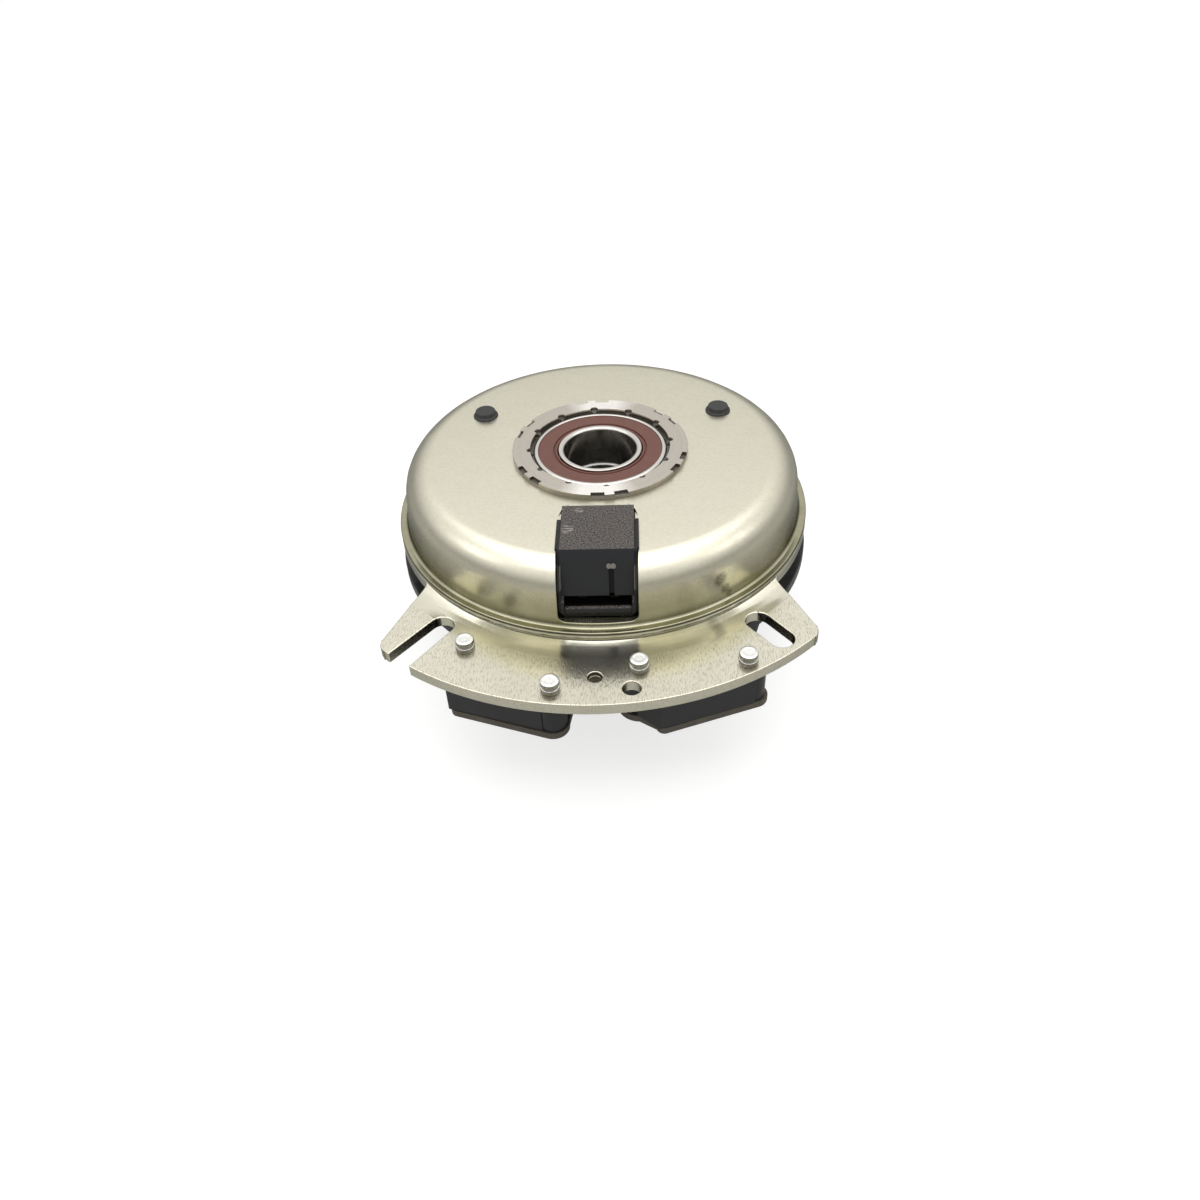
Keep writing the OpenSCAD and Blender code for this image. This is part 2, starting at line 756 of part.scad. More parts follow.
module pulley_bearing_inner_ring() {
    color("#d6d3ce") inner_race(pb_bore_r, pb_pitch_r, pb_land, pb_z0, pb_w, pb_ball_r);
}

module pulley_bearing_seals() {
    color("#6f4238") seal_pair(pb_pitch_r, pb_land + 0.3, pb_z0, pb_w);
}

module pulley_bearing_balls() {
    color("#dcdcdc") ball_row(pb_pitch_r, pb_z0 + pb_w / 2, pb_ball_r, pb_balls);
}

module pulley_bearing_cage() {
    color("#8d8f92")
    ball_cage(pb_pitch_r, pb_z0 + pb_w / 2, pb_ball_r, pb_balls, pb_ball_r + cage_over);
}

// Outline of a brake's spacer: flat face, slanted side round the first rivet, stepped end
module spacer_outline(shift, end) {
    left = shift - brake_half;
    right = shift + brake_half;
    union() {
        polygon([[left, -brake_face], [right, -brake_face], [right, -brake_face + spacer_step],
            [end[0], -end[1]], [end[0] + 1, -brake_in_r], [rivet_a[0], -brake_in_r + 4],
            [rivet_a[0], -rivet_a[1] + 1], [rivet_a[0] - spacer_boss + 0.3, -rivet_a[1] - 1]]);
        translate([rivet_a[0], -rivet_a[1]]) circle(r = spacer_boss);
        translate([end[0], -end[1]]) circle(r = end[2]);
    }
}

module brake_spacer(angle, shift, end) {
    color("#2c2d2f")
    difference() {
        at_angle(angle) difference() {
            translate([0, 0, pole_z1]) linear_extrude(plate_z0 - pole_z1)
                spacer_outline(shift, end);
            translate([-magnet_l / 2, -magnet_mid - magnet_d / 2, pole_z1 - over])
                cube([magnet_l, magnet_d, plate_z0 - pole_z1 + 2 * over]);
            rivet_holes(pole_z1 - over, plate_z0 - pole_z1 + 2 * over);
        }
        translate([0, 0, pole_z1 - over]) cylinder(r = brake_in_r, h = plate_z0 - pole_z1 + 2 * over);
    }
}

module brake_spacer_a() {
    brake_spacer(brake_angle_a, brake_shift_a, spacer_end_a);
}

module brake_spacer_b() {
    brake_spacer(brake_angle_b, brake_shift_b, spacer_end_b);
}

module brake_magnets() {
    color("#55585c")
    brake_places() translate([-magnet_l / 2, -magnet_mid - magnet_d / 2, pole_z1])
        cube([magnet_l, magnet_d, plate_z0 - pole_z1]);
}

module pole_outline(shift, end) {
    margin = 0.2;
    corner = 2.5;
    left = shift - brake_half;
    union() {
        polygon([[left + corner, -brake_face - margin], [end[0], -end[1] - end[2]],
            [end[0], -end[1]], [end[0] + end[2] - 0.3, -end[1] + 1], [end[0], -pole_in_r + 5],
            [-brake_half - 1, -pole_in_r + 5], [rivet_a[0] - pole_boss + 0.3, -rivet_a[1] - 1],
            [left, -brake_face - margin + corner]]);
        translate([left + corner, -brake_face - margin + corner]) circle(r = corner);
        translate([rivet_a[0], -rivet_a[1]]) circle(r = pole_boss);
        translate([end[0], -end[1]]) circle(r = end[2]);
    }
}

module brake_pole(angle, shift, end) {
    color("#4a4039")
    difference() {
        at_angle(angle) difference() {
            translate([0, 0, pole_z0]) linear_extrude(pole_t) pole_outline(shift, end);
            rivet_holes(pole_z0 - over, pole_t + 2 * over);
        }
        translate([0, 0, pole_z0 - over]) cylinder(r = pole_in_r, h = pole_t + 2 * over);
    }
}

module brake_pole_a() {
    brake_pole(brake_angle_a, brake_shift_a, pole_end_a);
}

module brake_pole_b() {
    brake_pole(brake_angle_b, brake_shift_b, pole_end_b);
}

module brake_rivets() {
    color("#cfcfcf")
    brake_places() for (p = [rivet_a, rivet_b]) translate([p[0], -p[1], 0]) {
        translate([0, 0, pole_z0 - tail_t]) cylinder(r = tail_r, h = tail_t);
        translate([0, 0, pole_z0]) cylinder(r = rivet_r, h = plate_z1 - pole_z0);
        translate([0, 0, plate_z1]) cylinder(r = collar_r, h = collar_t);
        translate([0, 0, plate_z1]) cylinder(r = head_r, h = head_t);
    }
}

// Bananas of steel removed between the rotor's two poles
module flux_slots_cut() {
    sweep = 360 / flux_slots - flux_bridge;
    around(flux_slots) {
        rotate_extrude(angle = sweep)
            translate([flux_slot_r - flux_slot_w / 2, rotor_z0 - over])
                square([flux_slot_w, rotor_t + 2 * over]);
        for (a = [0, sweep]) rotate([0, 0, a]) translate([flux_slot_r, 0, rotor_z0 - over])
            cylinder(r = flux_slot_w / 2 - step, h = rotor_t + 2 * over);
    }
}

// Stamped disc with the rim round the coil, pressed on the hub against its shoulder
module rotor() {
    color("#6d6b66")
    difference() {
        turned() {
            translate([hub_pole_r, rotor_z0]) square([rotor_r - hub_pole_r, rotor_t]);
            translate([rim_r - rim_t, rotor_z0]) square([rim_t, rim_z1 - rotor_z0]);
        }
        flux_slots_cut();
    }
}

// Keyed hub: seat of the pulley's bearing, shoulder under the disc, inner pole up to the
// field's bearing
module rotor_hub() {
    mouth_bevel = 0.8;
    color("#77746e")
    difference() {
        turned() difference() {
            union() {
                translate([0, hub_z0]) square([pb_bore_r, rotor_z0 - hub_z0]);
                translate([0, pb_z1]) square([hub_shoulder_r, rotor_z0 - pb_z1]);
                translate([0, pb_z1]) square([hub_pole_r, fb_z0 - hub_nose_h - pb_z1]);
                translate([0, pb_z1]) square([hub_nose_r, fb_z0 - pb_z1]);
            }
            translate([0, hub_z0 - over]) square([bore_r, fb_z0 + 2 * over]);
            polygon([[0, fb_z0 - mouth_bevel], [bore_r, fb_z0 - mouth_bevel],
                [bore_r + mouth_bevel, fb_z0], [bore_r + mouth_bevel, fb_z0 + over],
                [0, fb_z0 + over]]);
            translate([pb_bore_r - snap_depth, pb_z0 - snap_t]) square([5, snap_t]);
        }
        translate([-key_w / 2, -bore_r - key_depth, hub_z0 - over])
            cube([key_w, bore_r + key_depth, fb_z0 + 2 * over]);
    }
}

module rotor_snap_ring() {
    color("#3b3b3d")
    difference() {
        ring(pb_bore_r - snap_depth, pb_bore_r + 2.4, pb_z0 - snap_t, pb_z0);
        translate([-2.5, 0, pb_z0 - snap_t - over]) cube([5, pb_bore_r + 5, snap_t + 2 * over]);
    }
}

// Places of the leaf springs' two rivets
module spring_places(a) {
    around(springs, a) translate([0, -spring_pcd_r, 0]) children();
}

module armature() {
    color("#28292b")
    difference() {
        ring(arm_in_r, arm_r, arm_z0, arm_z1);
        spring_places(0) {
            translate([0, 0, arm_z0 - over]) cylinder(r = spring_rivet_r, h = arm_t + 2 * over);
            translate([0, 0, arm_z1 - spring_head_t])
                cylinder(r = spring_head_r, h = spring_head_t + over);
        }
        spring_places(spring_span) translate([0, 0, arm_z0 - over])
            cylinder(r = spring_head_r + run_gap, h = arm_t + 2 * over);
    }
}

module armature_rivets() {
    color("#9a9a98")
    spring_places(0) {
        translate([0, 0, spring_z0]) cylinder(r = spring_rivet_r, h = arm_z1 - spring_head_t - spring_z0);
        translate([0, 0, spring_z0 - spring_head_t]) cylinder(r = spring_head_r, h = spring_head_t);
        translate([0, 0, arm_z1 - spring_head_t]) cylinder(r = spring_head_r, h = spring_head_t - 0.2);
    }
}

// Strip from the armature's rivet to the pulley's rivet
module spring_outline() {
    reach = 2 * spring_pcd_r * sin(spring_span / 2);
    union() {
        translate([0, -spring_pcd_r]) circle(d = spring_w);
        translate([0, -spring_pcd_r]) rotate([0, 0, spring_span / 2])
            translate([0, -spring_w / 2]) square([reach, spring_w]);
        rotate([0, 0, spring_span]) translate([0, -spring_pcd_r]) circle(d = spring_w);
    }
}

module leaf_springs() {
    color("#8f9296")
    around(springs) translate([0, 0, spring_z0]) linear_extrude(spring_t) difference() {
        spring_outline();
        translate([0, -spring_pcd_r]) circle(r = spring_rivet_r);
        rotate([0, 0, spring_span]) translate([0, -spring_pcd_r]) circle(r = spring_rivet_r);
    }
}

module pulley() {
    boss_z1 = pb_z1 + 2.2;
    color("#242527")
    difference() {
        union() {
            turned() difference() {
                union() {
                    translate([rim_in_r, 0]) square([pulley_r - rim_in_r, pulley_h]);
                    translate([pb_r - 2.5, web_z0]) square([rim_in_r - pb_r + 3.5, web_t]);
                    translate([pb_r - 2.5, boss_z0]) square([boss_r - pb_r + 2.5, boss_z1 - boss_z0]);
                }
                polygon([[pulley_r - groove_depth, groove_z - groove_floor_w / 2],
                    [pulley_r + over, groove_z - groove_w / 2 - over * tan(groove_angle)],
                    [pulley_r + over, groove_z + groove_w / 2 + over * tan(groove_angle)],
                    [pulley_r - groove_depth, groove_z + groove_floor_w / 2]]);
                translate([0, boss_z0 - over]) square([pb_r, pb_z1 - boss_z0 + over]);
                translate([0, pb_z0 - snap_t]) square([pb_r + snap_depth, snap_t]);
            }
            spring_places(spring_span) translate([0, 0, web_z0 + over])
                cylinder(r = spring_boss_r, h = spring_z0 - web_z0 - over);
        }
        spring_places(spring_span) translate([0, 0, web_z0 + web_t])
            cylinder(r = spring_rivet_r, h = spring_z0);
    }
}

module pulley_rivets() {
    color("#9a9a98")
    spring_places(spring_span) {
        translate([0, 0, web_z0 + web_t]) cylinder(r = spring_rivet_r, h = spring_z1 - web_z0 - web_t);
        translate([0, 0, spring_z1]) cylinder(r = spring_head_r, h = spring_head_t);
    }
}

module pulley_snap_ring() {
    color("#3b3b3d")
    difference() {
        ring(pb_r - 2.6, pb_r + snap_depth, pb_z0 - snap_t, pb_z0);
        translate([-2.5, 0, pb_z0 - snap_t - over]) cube([5, pb_r + 5, snap_t + 2 * over]);
    }
}

field_cup();
mounting_plate();
field_hub();
coil_bobbin();
coil_winding();
coil_potting();
connector_housing();
connector_terminals();
vent_plugs();
field_bearing_outer_ring();
field_bearing_seals();
field_bearing_inner_ring();
field_bearing_balls();
field_bearing_cage();
brake_spacer_a();
brake_spacer_b();
brake_magnets();
brake_pole_a();
brake_pole_b();
brake_rivets();
rotor();
rotor_hub();
rotor_snap_ring();
armature();
armature_rivets();
leaf_springs();
pulley();
pulley_rivets();
pulley_bearing_outer_ring();
pulley_bearing_seals();
pulley_bearing_inner_ring();
pulley_bearing_balls();
pulley_bearing_cage();
pulley_snap_ring();
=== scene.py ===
# %% [markdown]
# # Electric PTO clutch
# A clutch of this kind sits on the shaft of a mower's engine. A coil in a drawn steel shell
# pulls a ring of steel against a spinning rotor, and a belt pulley then turns with the shaft.
# The construction model gives every piece its size and place. Here each piece that shows gets
# the rounded edges, the finish and the small marks that a real one has.

import json
import math

import bpy
from mathutils import Matrix, Vector


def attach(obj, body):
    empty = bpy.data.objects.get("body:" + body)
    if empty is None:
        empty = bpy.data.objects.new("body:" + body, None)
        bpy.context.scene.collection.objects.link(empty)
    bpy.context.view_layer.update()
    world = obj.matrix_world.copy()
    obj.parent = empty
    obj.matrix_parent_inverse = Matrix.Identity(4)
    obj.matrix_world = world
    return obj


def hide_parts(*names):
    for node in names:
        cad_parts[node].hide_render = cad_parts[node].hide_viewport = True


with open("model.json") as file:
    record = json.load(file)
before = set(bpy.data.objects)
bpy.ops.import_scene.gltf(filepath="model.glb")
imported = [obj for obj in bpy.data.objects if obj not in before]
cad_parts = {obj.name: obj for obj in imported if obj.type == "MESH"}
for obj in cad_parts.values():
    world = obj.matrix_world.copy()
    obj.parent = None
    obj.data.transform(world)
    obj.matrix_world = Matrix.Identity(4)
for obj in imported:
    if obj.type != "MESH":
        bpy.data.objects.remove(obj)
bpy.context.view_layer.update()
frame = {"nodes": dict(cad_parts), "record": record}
bodies = frame["record"]["behaviour"]["bodies"]
body_of = {node: body for body, nodes in bodies.items() for node in nodes}
slot_of = {part["node"]: part["material_slot"] for part in frame["record"]["subparts"]}
print("nodes:", len(body_of), "bodies:", len(bodies))

# %% [markdown]
# Blender works in metres and the drawing in millimetres, so one value turns one into the other.
# Colours are written as the hex values that a paint program shows, and one function turns them
# to the linear values that shaders use.

# %% Units and colours
MM = 0.001


def linear(hex_colour):
    """The linear colour, with full alpha, of an sRGB hex value."""
    channels = [int(hex_colour[i:i + 2], 16) / 255 for i in (1, 3, 5)]
    curve = [c / 12.92 if c <= 0.04045 else ((c + 0.055) / 1.055) ** 2.4 for c in channels]
    return (*curve, 1.0)


print("mid grey in linear light:", [round(c, 3) for c in linear("#808080")])

# %% [markdown]
# Every material is a small network of nodes. This helper adds one node: its own settings are
# given by name, its inputs in a dictionary, and an input that is another node's output is
# joined to it with a link.

# %% Add one shader node
def add(tree, kind, inputs=None, **settings):
    """One node with its settings, its input values and its links."""
    made = tree.nodes.new(kind)
    for key, value in settings.items():
        setattr(made, key, value)
    for key, value in (inputs or {}).items():
        if isinstance(value, bpy.types.NodeSocket):
            tree.links.new(value, made.inputs[key])
        else:
            made.inputs[key].default_value = value
    return made


def empty_material(name):
    """A material without nodes, and its node tree."""
    material = bpy.data.materials.new(name)
    material.use_nodes = True
    material.node_tree.nodes.clear()
    return material, material.node_tree


def new_material(name):
    """An empty material with its node tree, and the object coordinates of the piece in mm."""
    material, tree = empty_material(name)
    coordinates = add(tree, "ShaderNodeTexCoord")
    in_mm = add(tree, "ShaderNodeMapping", {"Vector": coordinates.outputs["Object"],
                                            "Scale": (1 / MM, 1 / MM, 1 / MM)})
    return material, tree, in_mm.outputs["Vector"]


def output(tree, shader):
    """Joins the finished shader to the material's surface."""
    add(tree, "ShaderNodeOutputMaterial", {"Surface": shader.outputs["BSDF"]})


# %% [markdown]
# The same few patterns come back in most finishes. A noise pattern whose scale is one over the
# size of its features in millimetres can be stretched along one axis for brushed grain. A map
# range turns it to the small change of colour, roughness or height that the finish needs.

# %% Patterns shared by the finishes
def noise(tree, vector, size_mm, detail=3.0, stretch=(1, 1, 1), at=(0, 0, 0)):
    """Noise with features of about size_mm, longer where stretch is above one."""
    scale = tuple(1 / (size_mm * s) for s in stretch)
    place = add(tree, "ShaderNodeMapping", {"Vector": vector, "Scale": scale, "Location": at})
    made = add(tree, "ShaderNodeTexNoise", {"Vector": place.outputs["Vector"], "Scale": 1.0,
                                            "Detail": detail, "Roughness": 0.55})
    return made.outputs["Fac"]


def between(tree, value, low, high, from_low=0.3, from_high=0.7):
    """The value mapped from one range to another and held inside it."""
    made = add(tree, "ShaderNodeMapRange", {"Value": value, "From Min": from_low,
                                            "From Max": from_high, "To Min": low,
                                            "To Max": high})
    return made.outputs["Result"]


def mixed(tree, factor, first, second):
    """A blend of two colours, each a hex value or another node's output."""
    made = add(tree, "ShaderNodeMix", {"Factor": factor}, data_type="RGBA")
    for name, colour in (("A", first), ("B", second)):
        socket = next(s for s in made.inputs if s.name == name and s.type == "RGBA")
        if isinstance(colour, str):
            socket.default_value = linear(colour)
        else:
            tree.links.new(colour, socket)
    return next(s for s in made.outputs if s.type == "RGBA")


def math_node(tree, operation, first, second=0.0):
    """One sum on two values."""
    return add(tree, "ShaderNodeMath", {0: first, 1: second}, operation=operation).outputs[0]


def radius(tree, vector):
    """Distance from the shaft's axis in mm."""
    flat = add(tree, "ShaderNodeMapping", {"Vector": vector, "Scale": (1, 1, 0)})
    return add(tree, "ShaderNodeVectorMath", {0: flat.outputs["Vector"]},
               operation="LENGTH").outputs["Value"]


def facing_up(tree, low, high):
    """One on faces that look up, nothing on steep ones and on those that look down."""
    facing = add(tree, "ShaderNodeNewGeometry").outputs["Normal"]
    upward = add(tree, "ShaderNodeSeparateXYZ", {"Vector": facing}).outputs["Z"]
    return between(tree, upward, 0.0, 1.0, low, high)


def near(tree, mm, centre, reach_mm):
    """One at a point, falling to nothing at the reach."""
    apart = add(tree, "ShaderNodeVectorMath", {0: mm, 1: centre}, operation="DISTANCE")
    return between(tree, apart.outputs["Value"], 1.0, 0.0, reach_mm * 0.5, reach_mm)


def bumped(tree, height, strength, depth_mm, below=None):
    """A bump of depth_mm from a height pattern, over another bump if one is given."""
    inputs = {"Height": height, "Strength": strength, "Distance": depth_mm * MM}
    if below is not None:
        inputs["Normal"] = below
    return add(tree, "ShaderNodeBump", inputs).outputs["Normal"]


# %% [markdown]
# The shell is drawn from sheet steel, zinc plated and passivated to a faint straw yellow. The
# plating is satin, a little cloudy, and rubbed along fine short scratches. On the steep wall
# the drawing die has ironed the sheet smoother, so the reflections there are sharper.

# %% Finish of the drawn shell
# Zinc reflects less at a grazing angle than steel, and this tint says how much
GRAZING_DULL = linear("#AAACB0")
# Height in mm of the lip's foot, and of the seam where its edge turns outwards
FOOT_Z = 46.5
SEAM_Z = 47.9
# Centre and reach in mm of each smudge on the wall
SMUDGES = (
    ((38.65, -57.88, 57.14), 3.0),
    ((40.2, -56.8, 53.0), 2.4),
    ((41.3, -56.0, 50.6), 2.0),
)


def smudges(tree, mm):
    """Dirty spots on the wall, with the ragged edge that a wiped finger mark has."""
    rub = between(tree, noise(tree, mm, 0.6, 3.0), 0.4, 1.0, 0.35, 0.6)
    spots = 0.0
    for centre, reach in SMUDGES:
        spots = math_node(tree, "MAXIMUM", spots, near(tree, mm, centre, reach))
    return math_node(tree, "MULTIPLY", spots, rub)


def passivated_drawn_steel():
    material, tree, mm = new_material("passivated_drawn_steel")
    cloud = noise(tree, mm, 9.0, 4.0)
    mottle = noise(tree, mm, 1.1, 2.0)
    # Finer than the render can show, so it is drawn at 0.35 mm
    peel = noise(tree, mm, 0.35, 2.0)
    rubbed = noise(tree, mm, 0.22, 2.0, stretch=(1, 14, 1))
    height = add(tree, "ShaderNodeSeparateXYZ", {"Vector": mm}).outputs["Z"]
    wall = between(tree, height, 1.0, 0.0, 54.0, 65.0)
    stains = noise(tree, mm, 11.0, 2.0, stretch=(1, 1, 1.5), at=(7, 2, 0))
    colour = mixed(tree, between(tree, cloud, 0.0, 0.55), "#E3DFCC", "#D7D3BF")
    colour = mixed(tree, between(tree, mottle, 0.0, 0.22, 0.4, 0.75), colour, "#B4B09B")
    # The lower wall is painted darker olive as shade, and stain noise varies how much
    wall_shade_and_stains = math_node(tree, "MULTIPLY", between(tree, stains, 0.7, 0.92, 0.35, 0.65), wall)
    colour = mixed(tree, wall_shade_and_stains, colour, "#989579")
    # The lip's outer face is painted dark along its seam as shade, and the lip turns outwards
    # below that
    edge = between(tree, radius(tree, mm), 0.0, 1.0, 73.1, 73.4)
    seam_shade = math_node(tree, "MULTIPLY", between(tree, height, 0.0, 0.85, 47.5, 47.8),
                     between(tree, height, 1.0, 0.0, 48.2, 48.5))
    colour = mixed(tree, math_node(tree, "MULTIPLY", edge, seam_shade), colour, "#3E3C32")
    colour = mixed(tree, math_node(tree, "MULTIPLY", smudges(tree, mm), 0.75), colour,
                   "#4A4940")
    satin = between(tree, cloud, 0.27, 0.35)
    roughness = math_node(tree, "SUBTRACT", satin, math_node(tree, "MULTIPLY", wall, 0.1))
    rough = math_node(tree, "ADD", roughness, between(tree, rubbed, 0.0, 0.06))
    normal = bumped(tree, peel, 0.2, 0.05)
    normal = bumped(tree, rubbed, 0.12, 0.04, normal)
    normal = bumped(tree, noise(tree, mm, 14.0, 2.0), 0.35, 0.12, normal)
    foot = math_node(tree, "MULTIPLY", between(tree, height, 1.0, 0.0, FOOT_Z, SEAM_Z), edge)
    normal = bumped(tree, foot, 1.0, SEAM_Z - FOOT_Z, normal)
    shader = add(tree, "ShaderNodeBsdfPrincipled", {
        "Base Color": colour, "Metallic": 1.0, "Roughness": rough, "Normal": normal,
        "Specular Tint": GRAZING_DULL})
    output(tree, shader)
    return material


# %% [markdown]
# The plate is cut from sheet that was brushed before plating. The grain runs from front to
# back in short strokes. A strip beside the shell was pressed to a smooth hollow that turns up
# to the lip, so grain and roughness fade out there. That rise and a slight lean of the front
# are drawn as bumps only. Their sizes were set to mirror what the photograph shows.

# %% Finish of the brushed plate
STRIP_INNER_MM = 73.0
STRIP_OUTER_MM = 83.0
PILOT_HOLE_MM = (-0.8, -90.3, 45.6)
# Heights of the bumps in mm: the strip's rise at the lip, and the lean of the plate's front
RISE_MM = 0.62
LEAN_MM = 1.5


def passivated_brushed_steel():
    material, tree, mm = new_material("passivated_brushed_steel")
    # Real grain is near 0.1 mm, and it is drawn at 0.22 mm so that it shows
    grain = noise(tree, mm, 0.22, 2.0, stretch=(1, 8, 1))
    strokes = noise(tree, mm, 0.34, 2.0, stretch=(1, 5, 1), at=(3, 1, 0))
    cloud = noise(tree, mm, 8.0, 3.0)
    distance = radius(tree, mm)
    outside = between(tree, distance, 0.0, 1.0, STRIP_OUTER_MM - 1.2, STRIP_OUTER_MM + 0.6)
    grained = math_node(tree, "ADD", 0.04, math_node(tree, "MULTIPLY", outside, 0.96))
    colour = mixed(tree, between(tree, cloud, 0.0, 0.5), "#E3DFCD", "#D8D4C0")
    stroke = between(tree, strokes, 0.0, 1.0, 0.5, 0.68)
    marks = math_node(tree, "MULTIPLY", math_node(tree, "MULTIPLY", stroke, 0.5), grained)
    colour = mixed(tree, marks, colour, "#A39C84")
    # Sunk faces and the pilot hole's wall are painted darker as shade
    height = add(tree, "ShaderNodeSeparateXYZ", {"Vector": mm}).outputs["Z"]
    sunk_shade = math_node(tree, "MULTIPLY", between(tree, height, 0.85, 0.0, 45.6, 46.1),
                     facing_up(tree, 0.5, 0.9))
    steep = between(tree, facing_up(tree, 0.5, 0.98), 0.8, 0.0, 0.0, 1.0)
    hole_wall_shade = math_node(tree, "MULTIPLY", steep, near(tree, mm, PILOT_HOLE_MM, 6.0))
    colour = mixed(tree, math_node(tree, "MAXIMUM", sunk_shade, hole_wall_shade), colour, "#5C5A4B")
    rough = math_node(tree, "ADD", 0.12, math_node(tree, "MULTIPLY", outside, 0.06))
    rough = math_node(tree, "ADD", rough, between(tree, grain, 0.0, 0.05))
    normal = bumped(tree, grain, math_node(tree, "MULTIPLY", grained, 0.25), 0.03)
    normal = bumped(tree, stroke, math_node(tree, "MULTIPLY", grained, 0.5), 0.03, normal)
    inward = between(tree, distance, 1.0, 0.0, STRIP_INNER_MM, STRIP_OUTER_MM)
    rise = math_node(tree, "MULTIPLY", math_node(tree, "POWER", inward, 4.0), RISE_MM)
    # Beyond the strip the plate's front leans towards the shaft by a few degrees
    lean = between(tree, distance, 0.0, LEAN_MM, STRIP_OUTER_MM - 1, STRIP_OUTER_MM + 23)
    hollow = math_node(tree, "MULTIPLY", math_node(tree, "ADD", rise, lean),
                       facing_up(tree, 0.5, 0.9))
    normal = bumped(tree, hollow, 1.0, 1.0, normal)
    # Brushing from front to back spreads reflections to the sides
    across = add(tree, "ShaderNodeTangent", direction_type="RADIAL", axis="Z")
    shader = add(tree, "ShaderNodeBsdfPrincipled", {
        "Base Color": colour, "Metallic": 1.0, "Roughness": rough, "Normal": normal,
        "Specular Tint": GRAZING_DULL, "Anisotropic": 0.8,
        "Tangent": across.outputs["Tangent"]})
    output(tree, shader)
    return material


# %% [markdown]
# Turned and ground steel has fine rings round the axis. Noise read from the distance to the
# axis and the height gives rings on flat faces and on round walls alike. The rings' real pitch
# is a few hundredths of a millimetre. They are drawn coarser, so that they show.

# %% Finish of turned and ground steel
FLANGE_R_MM = 30.8
# Colour of the painted highlight on the turned flange's front and back sectors
SECTOR_HIGHLIGHT_COLOUR = "#F6F3EC"


def ringed_steel(name, light, dark, rough_low, rough_high, pitch_mm, depth, brushed=0.0,
                 pit_shade_z=None):
    material, tree, mm = new_material(name)
    parts = add(tree, "ShaderNodeSeparateXYZ", {"Vector": mm})
    height = parts.outputs["Z"]
    rings = add(tree, "ShaderNodeCombineXYZ", {"X": radius(tree, mm), "Y": height})
    lines = noise(tree, rings.outputs["Vector"], pitch_mm, 2.0)
    broad = noise(tree, rings.outputs["Vector"], pitch_mm * 6, 2.0)
    handled = noise(tree, mm, 5.0, 3.0)
    colour = mixed(tree, between(tree, broad, 0.0, 0.5), light, dark)
    colour = mixed(tree, between(tree, handled, 0.0, 0.15, 0.5, 0.8), colour, dark)
    rough = math_node(tree, "ADD", between(tree, handled, rough_low, rough_high),
                      between(tree, lines, 0.0, 0.05))
    normal = bumped(tree, lines, depth, 0.03)
    if pit_shade_z is not None:
        low, high = pit_shade_z
        # The stake recesses are painted dark as shade, and the flange's outer wall a little less
        pit_shade = math_node(tree, "MULTIPLY", between(tree, height, 0.0, 0.85, low - 0.3, low),
                        between(tree, height, 1.0, 0.0, high - 0.7, high))
        inside = between(tree, radius(tree, mm), 1.0, 0.6, FLANGE_R_MM - 0.1, FLANGE_R_MM - 0.03)
        pit_shade = math_node(tree, "MULTIPLY", pit_shade, inside)
        # A painted highlight lightens two sectors, towards the front and the back, where the
        # lathe's rings would catch the light
        sideways = math_node(tree, "ABSOLUTE", parts.outputs["X"])
        aside = math_node(tree, "DIVIDE", sideways, radius(tree, mm))
        sector_highlight = math_node(tree, "MULTIPLY", between(tree, aside, 1.0, 0.0, 0.2, 0.45),
                           facing_up(tree, 0.8, 0.95))
        colour = mixed(tree, sector_highlight, colour, SECTOR_HIGHLIGHT_COLOUR)
        colour = mixed(tree, pit_shade, colour, "#3B3731")
    along = add(tree, "ShaderNodeTangent", direction_type="RADIAL", axis="Z")
    shader = add(tree, "ShaderNodeBsdfPrincipled", {
        "Base Color": colour, "Metallic": 1.0, "Roughness": rough, "Normal": normal,
        "Anisotropic": brushed, "Anisotropic Rotation": 0.25,
        "Tangent": along.outputs["Tangent"]})
    output(tree, shader)
    return material


# %% [markdown]
# The socket and the brake bodies are moulded from glass filled nylon. It is black, and its
# skin is finely grained. Faces that look up are rubbed to a lighter grey with a few scuffs,
# and steep faces stay dark and smooth, as they left the mould.

# %% Finish of the moulded pieces
def moulded_nylon(name, base, worn, worn_share, rough_low, rough_high):
    material, tree, mm = new_material(name)
    # Spark eroded grain of the mould, drawn at 0.3 mm
    grain = noise(tree, mm, 0.3, 2.0)
    patch = noise(tree, mm, 3.0, 4.0, stretch=(1.6, 1, 1))
    top = facing_up(tree, 0.6, 0.95)
    speck = between(tree, grain, 0.35, 1.0, 0.4, 0.65)
    rubbed = math_node(tree, "MULTIPLY", math_node(tree, "MULTIPLY", top, speck), worn_share)
    colour = mixed(tree, rubbed, base, worn)
    scuff = math_node(tree, "MULTIPLY", between(tree, patch, 0.0, 0.5, 0.66, 0.74), top)
    colour = mixed(tree, scuff, colour, "#A5A19B")
    rough = math_node(tree, "ADD", between(tree, patch, rough_low, rough_high),
                      math_node(tree, "MULTIPLY", top, 0.12))
    normal = bumped(tree, grain, between(tree, top, 0.12, 0.5, 0.0, 1.0), 0.06)
    shader = add(tree, "ShaderNodeBsdfPrincipled", {
        "Base Color": colour, "Metallic": 0.0, "Roughness": rough, "Normal": normal,
        "IOR": 1.53})
    output(tree, shader)
    return material


# %% [markdown]
# The socket's upper face was handled most. It has turned a mottled brown-grey, with a light
# scuff and a scratch at its left. What lies deep beside and inside the socket, at its foot and
# in the latch's groove is painted near black as shade.

# %% Finish of the socket
SCUFF_MM = (-9.4, -49.2, 71.3)
SCRATCH_MM = (-6.1, -39.3, 71.3)
FRONT_FACE_NORMAL = (0, -0.9596, 0.2815)
FRONT_FACE_AT = 77.35


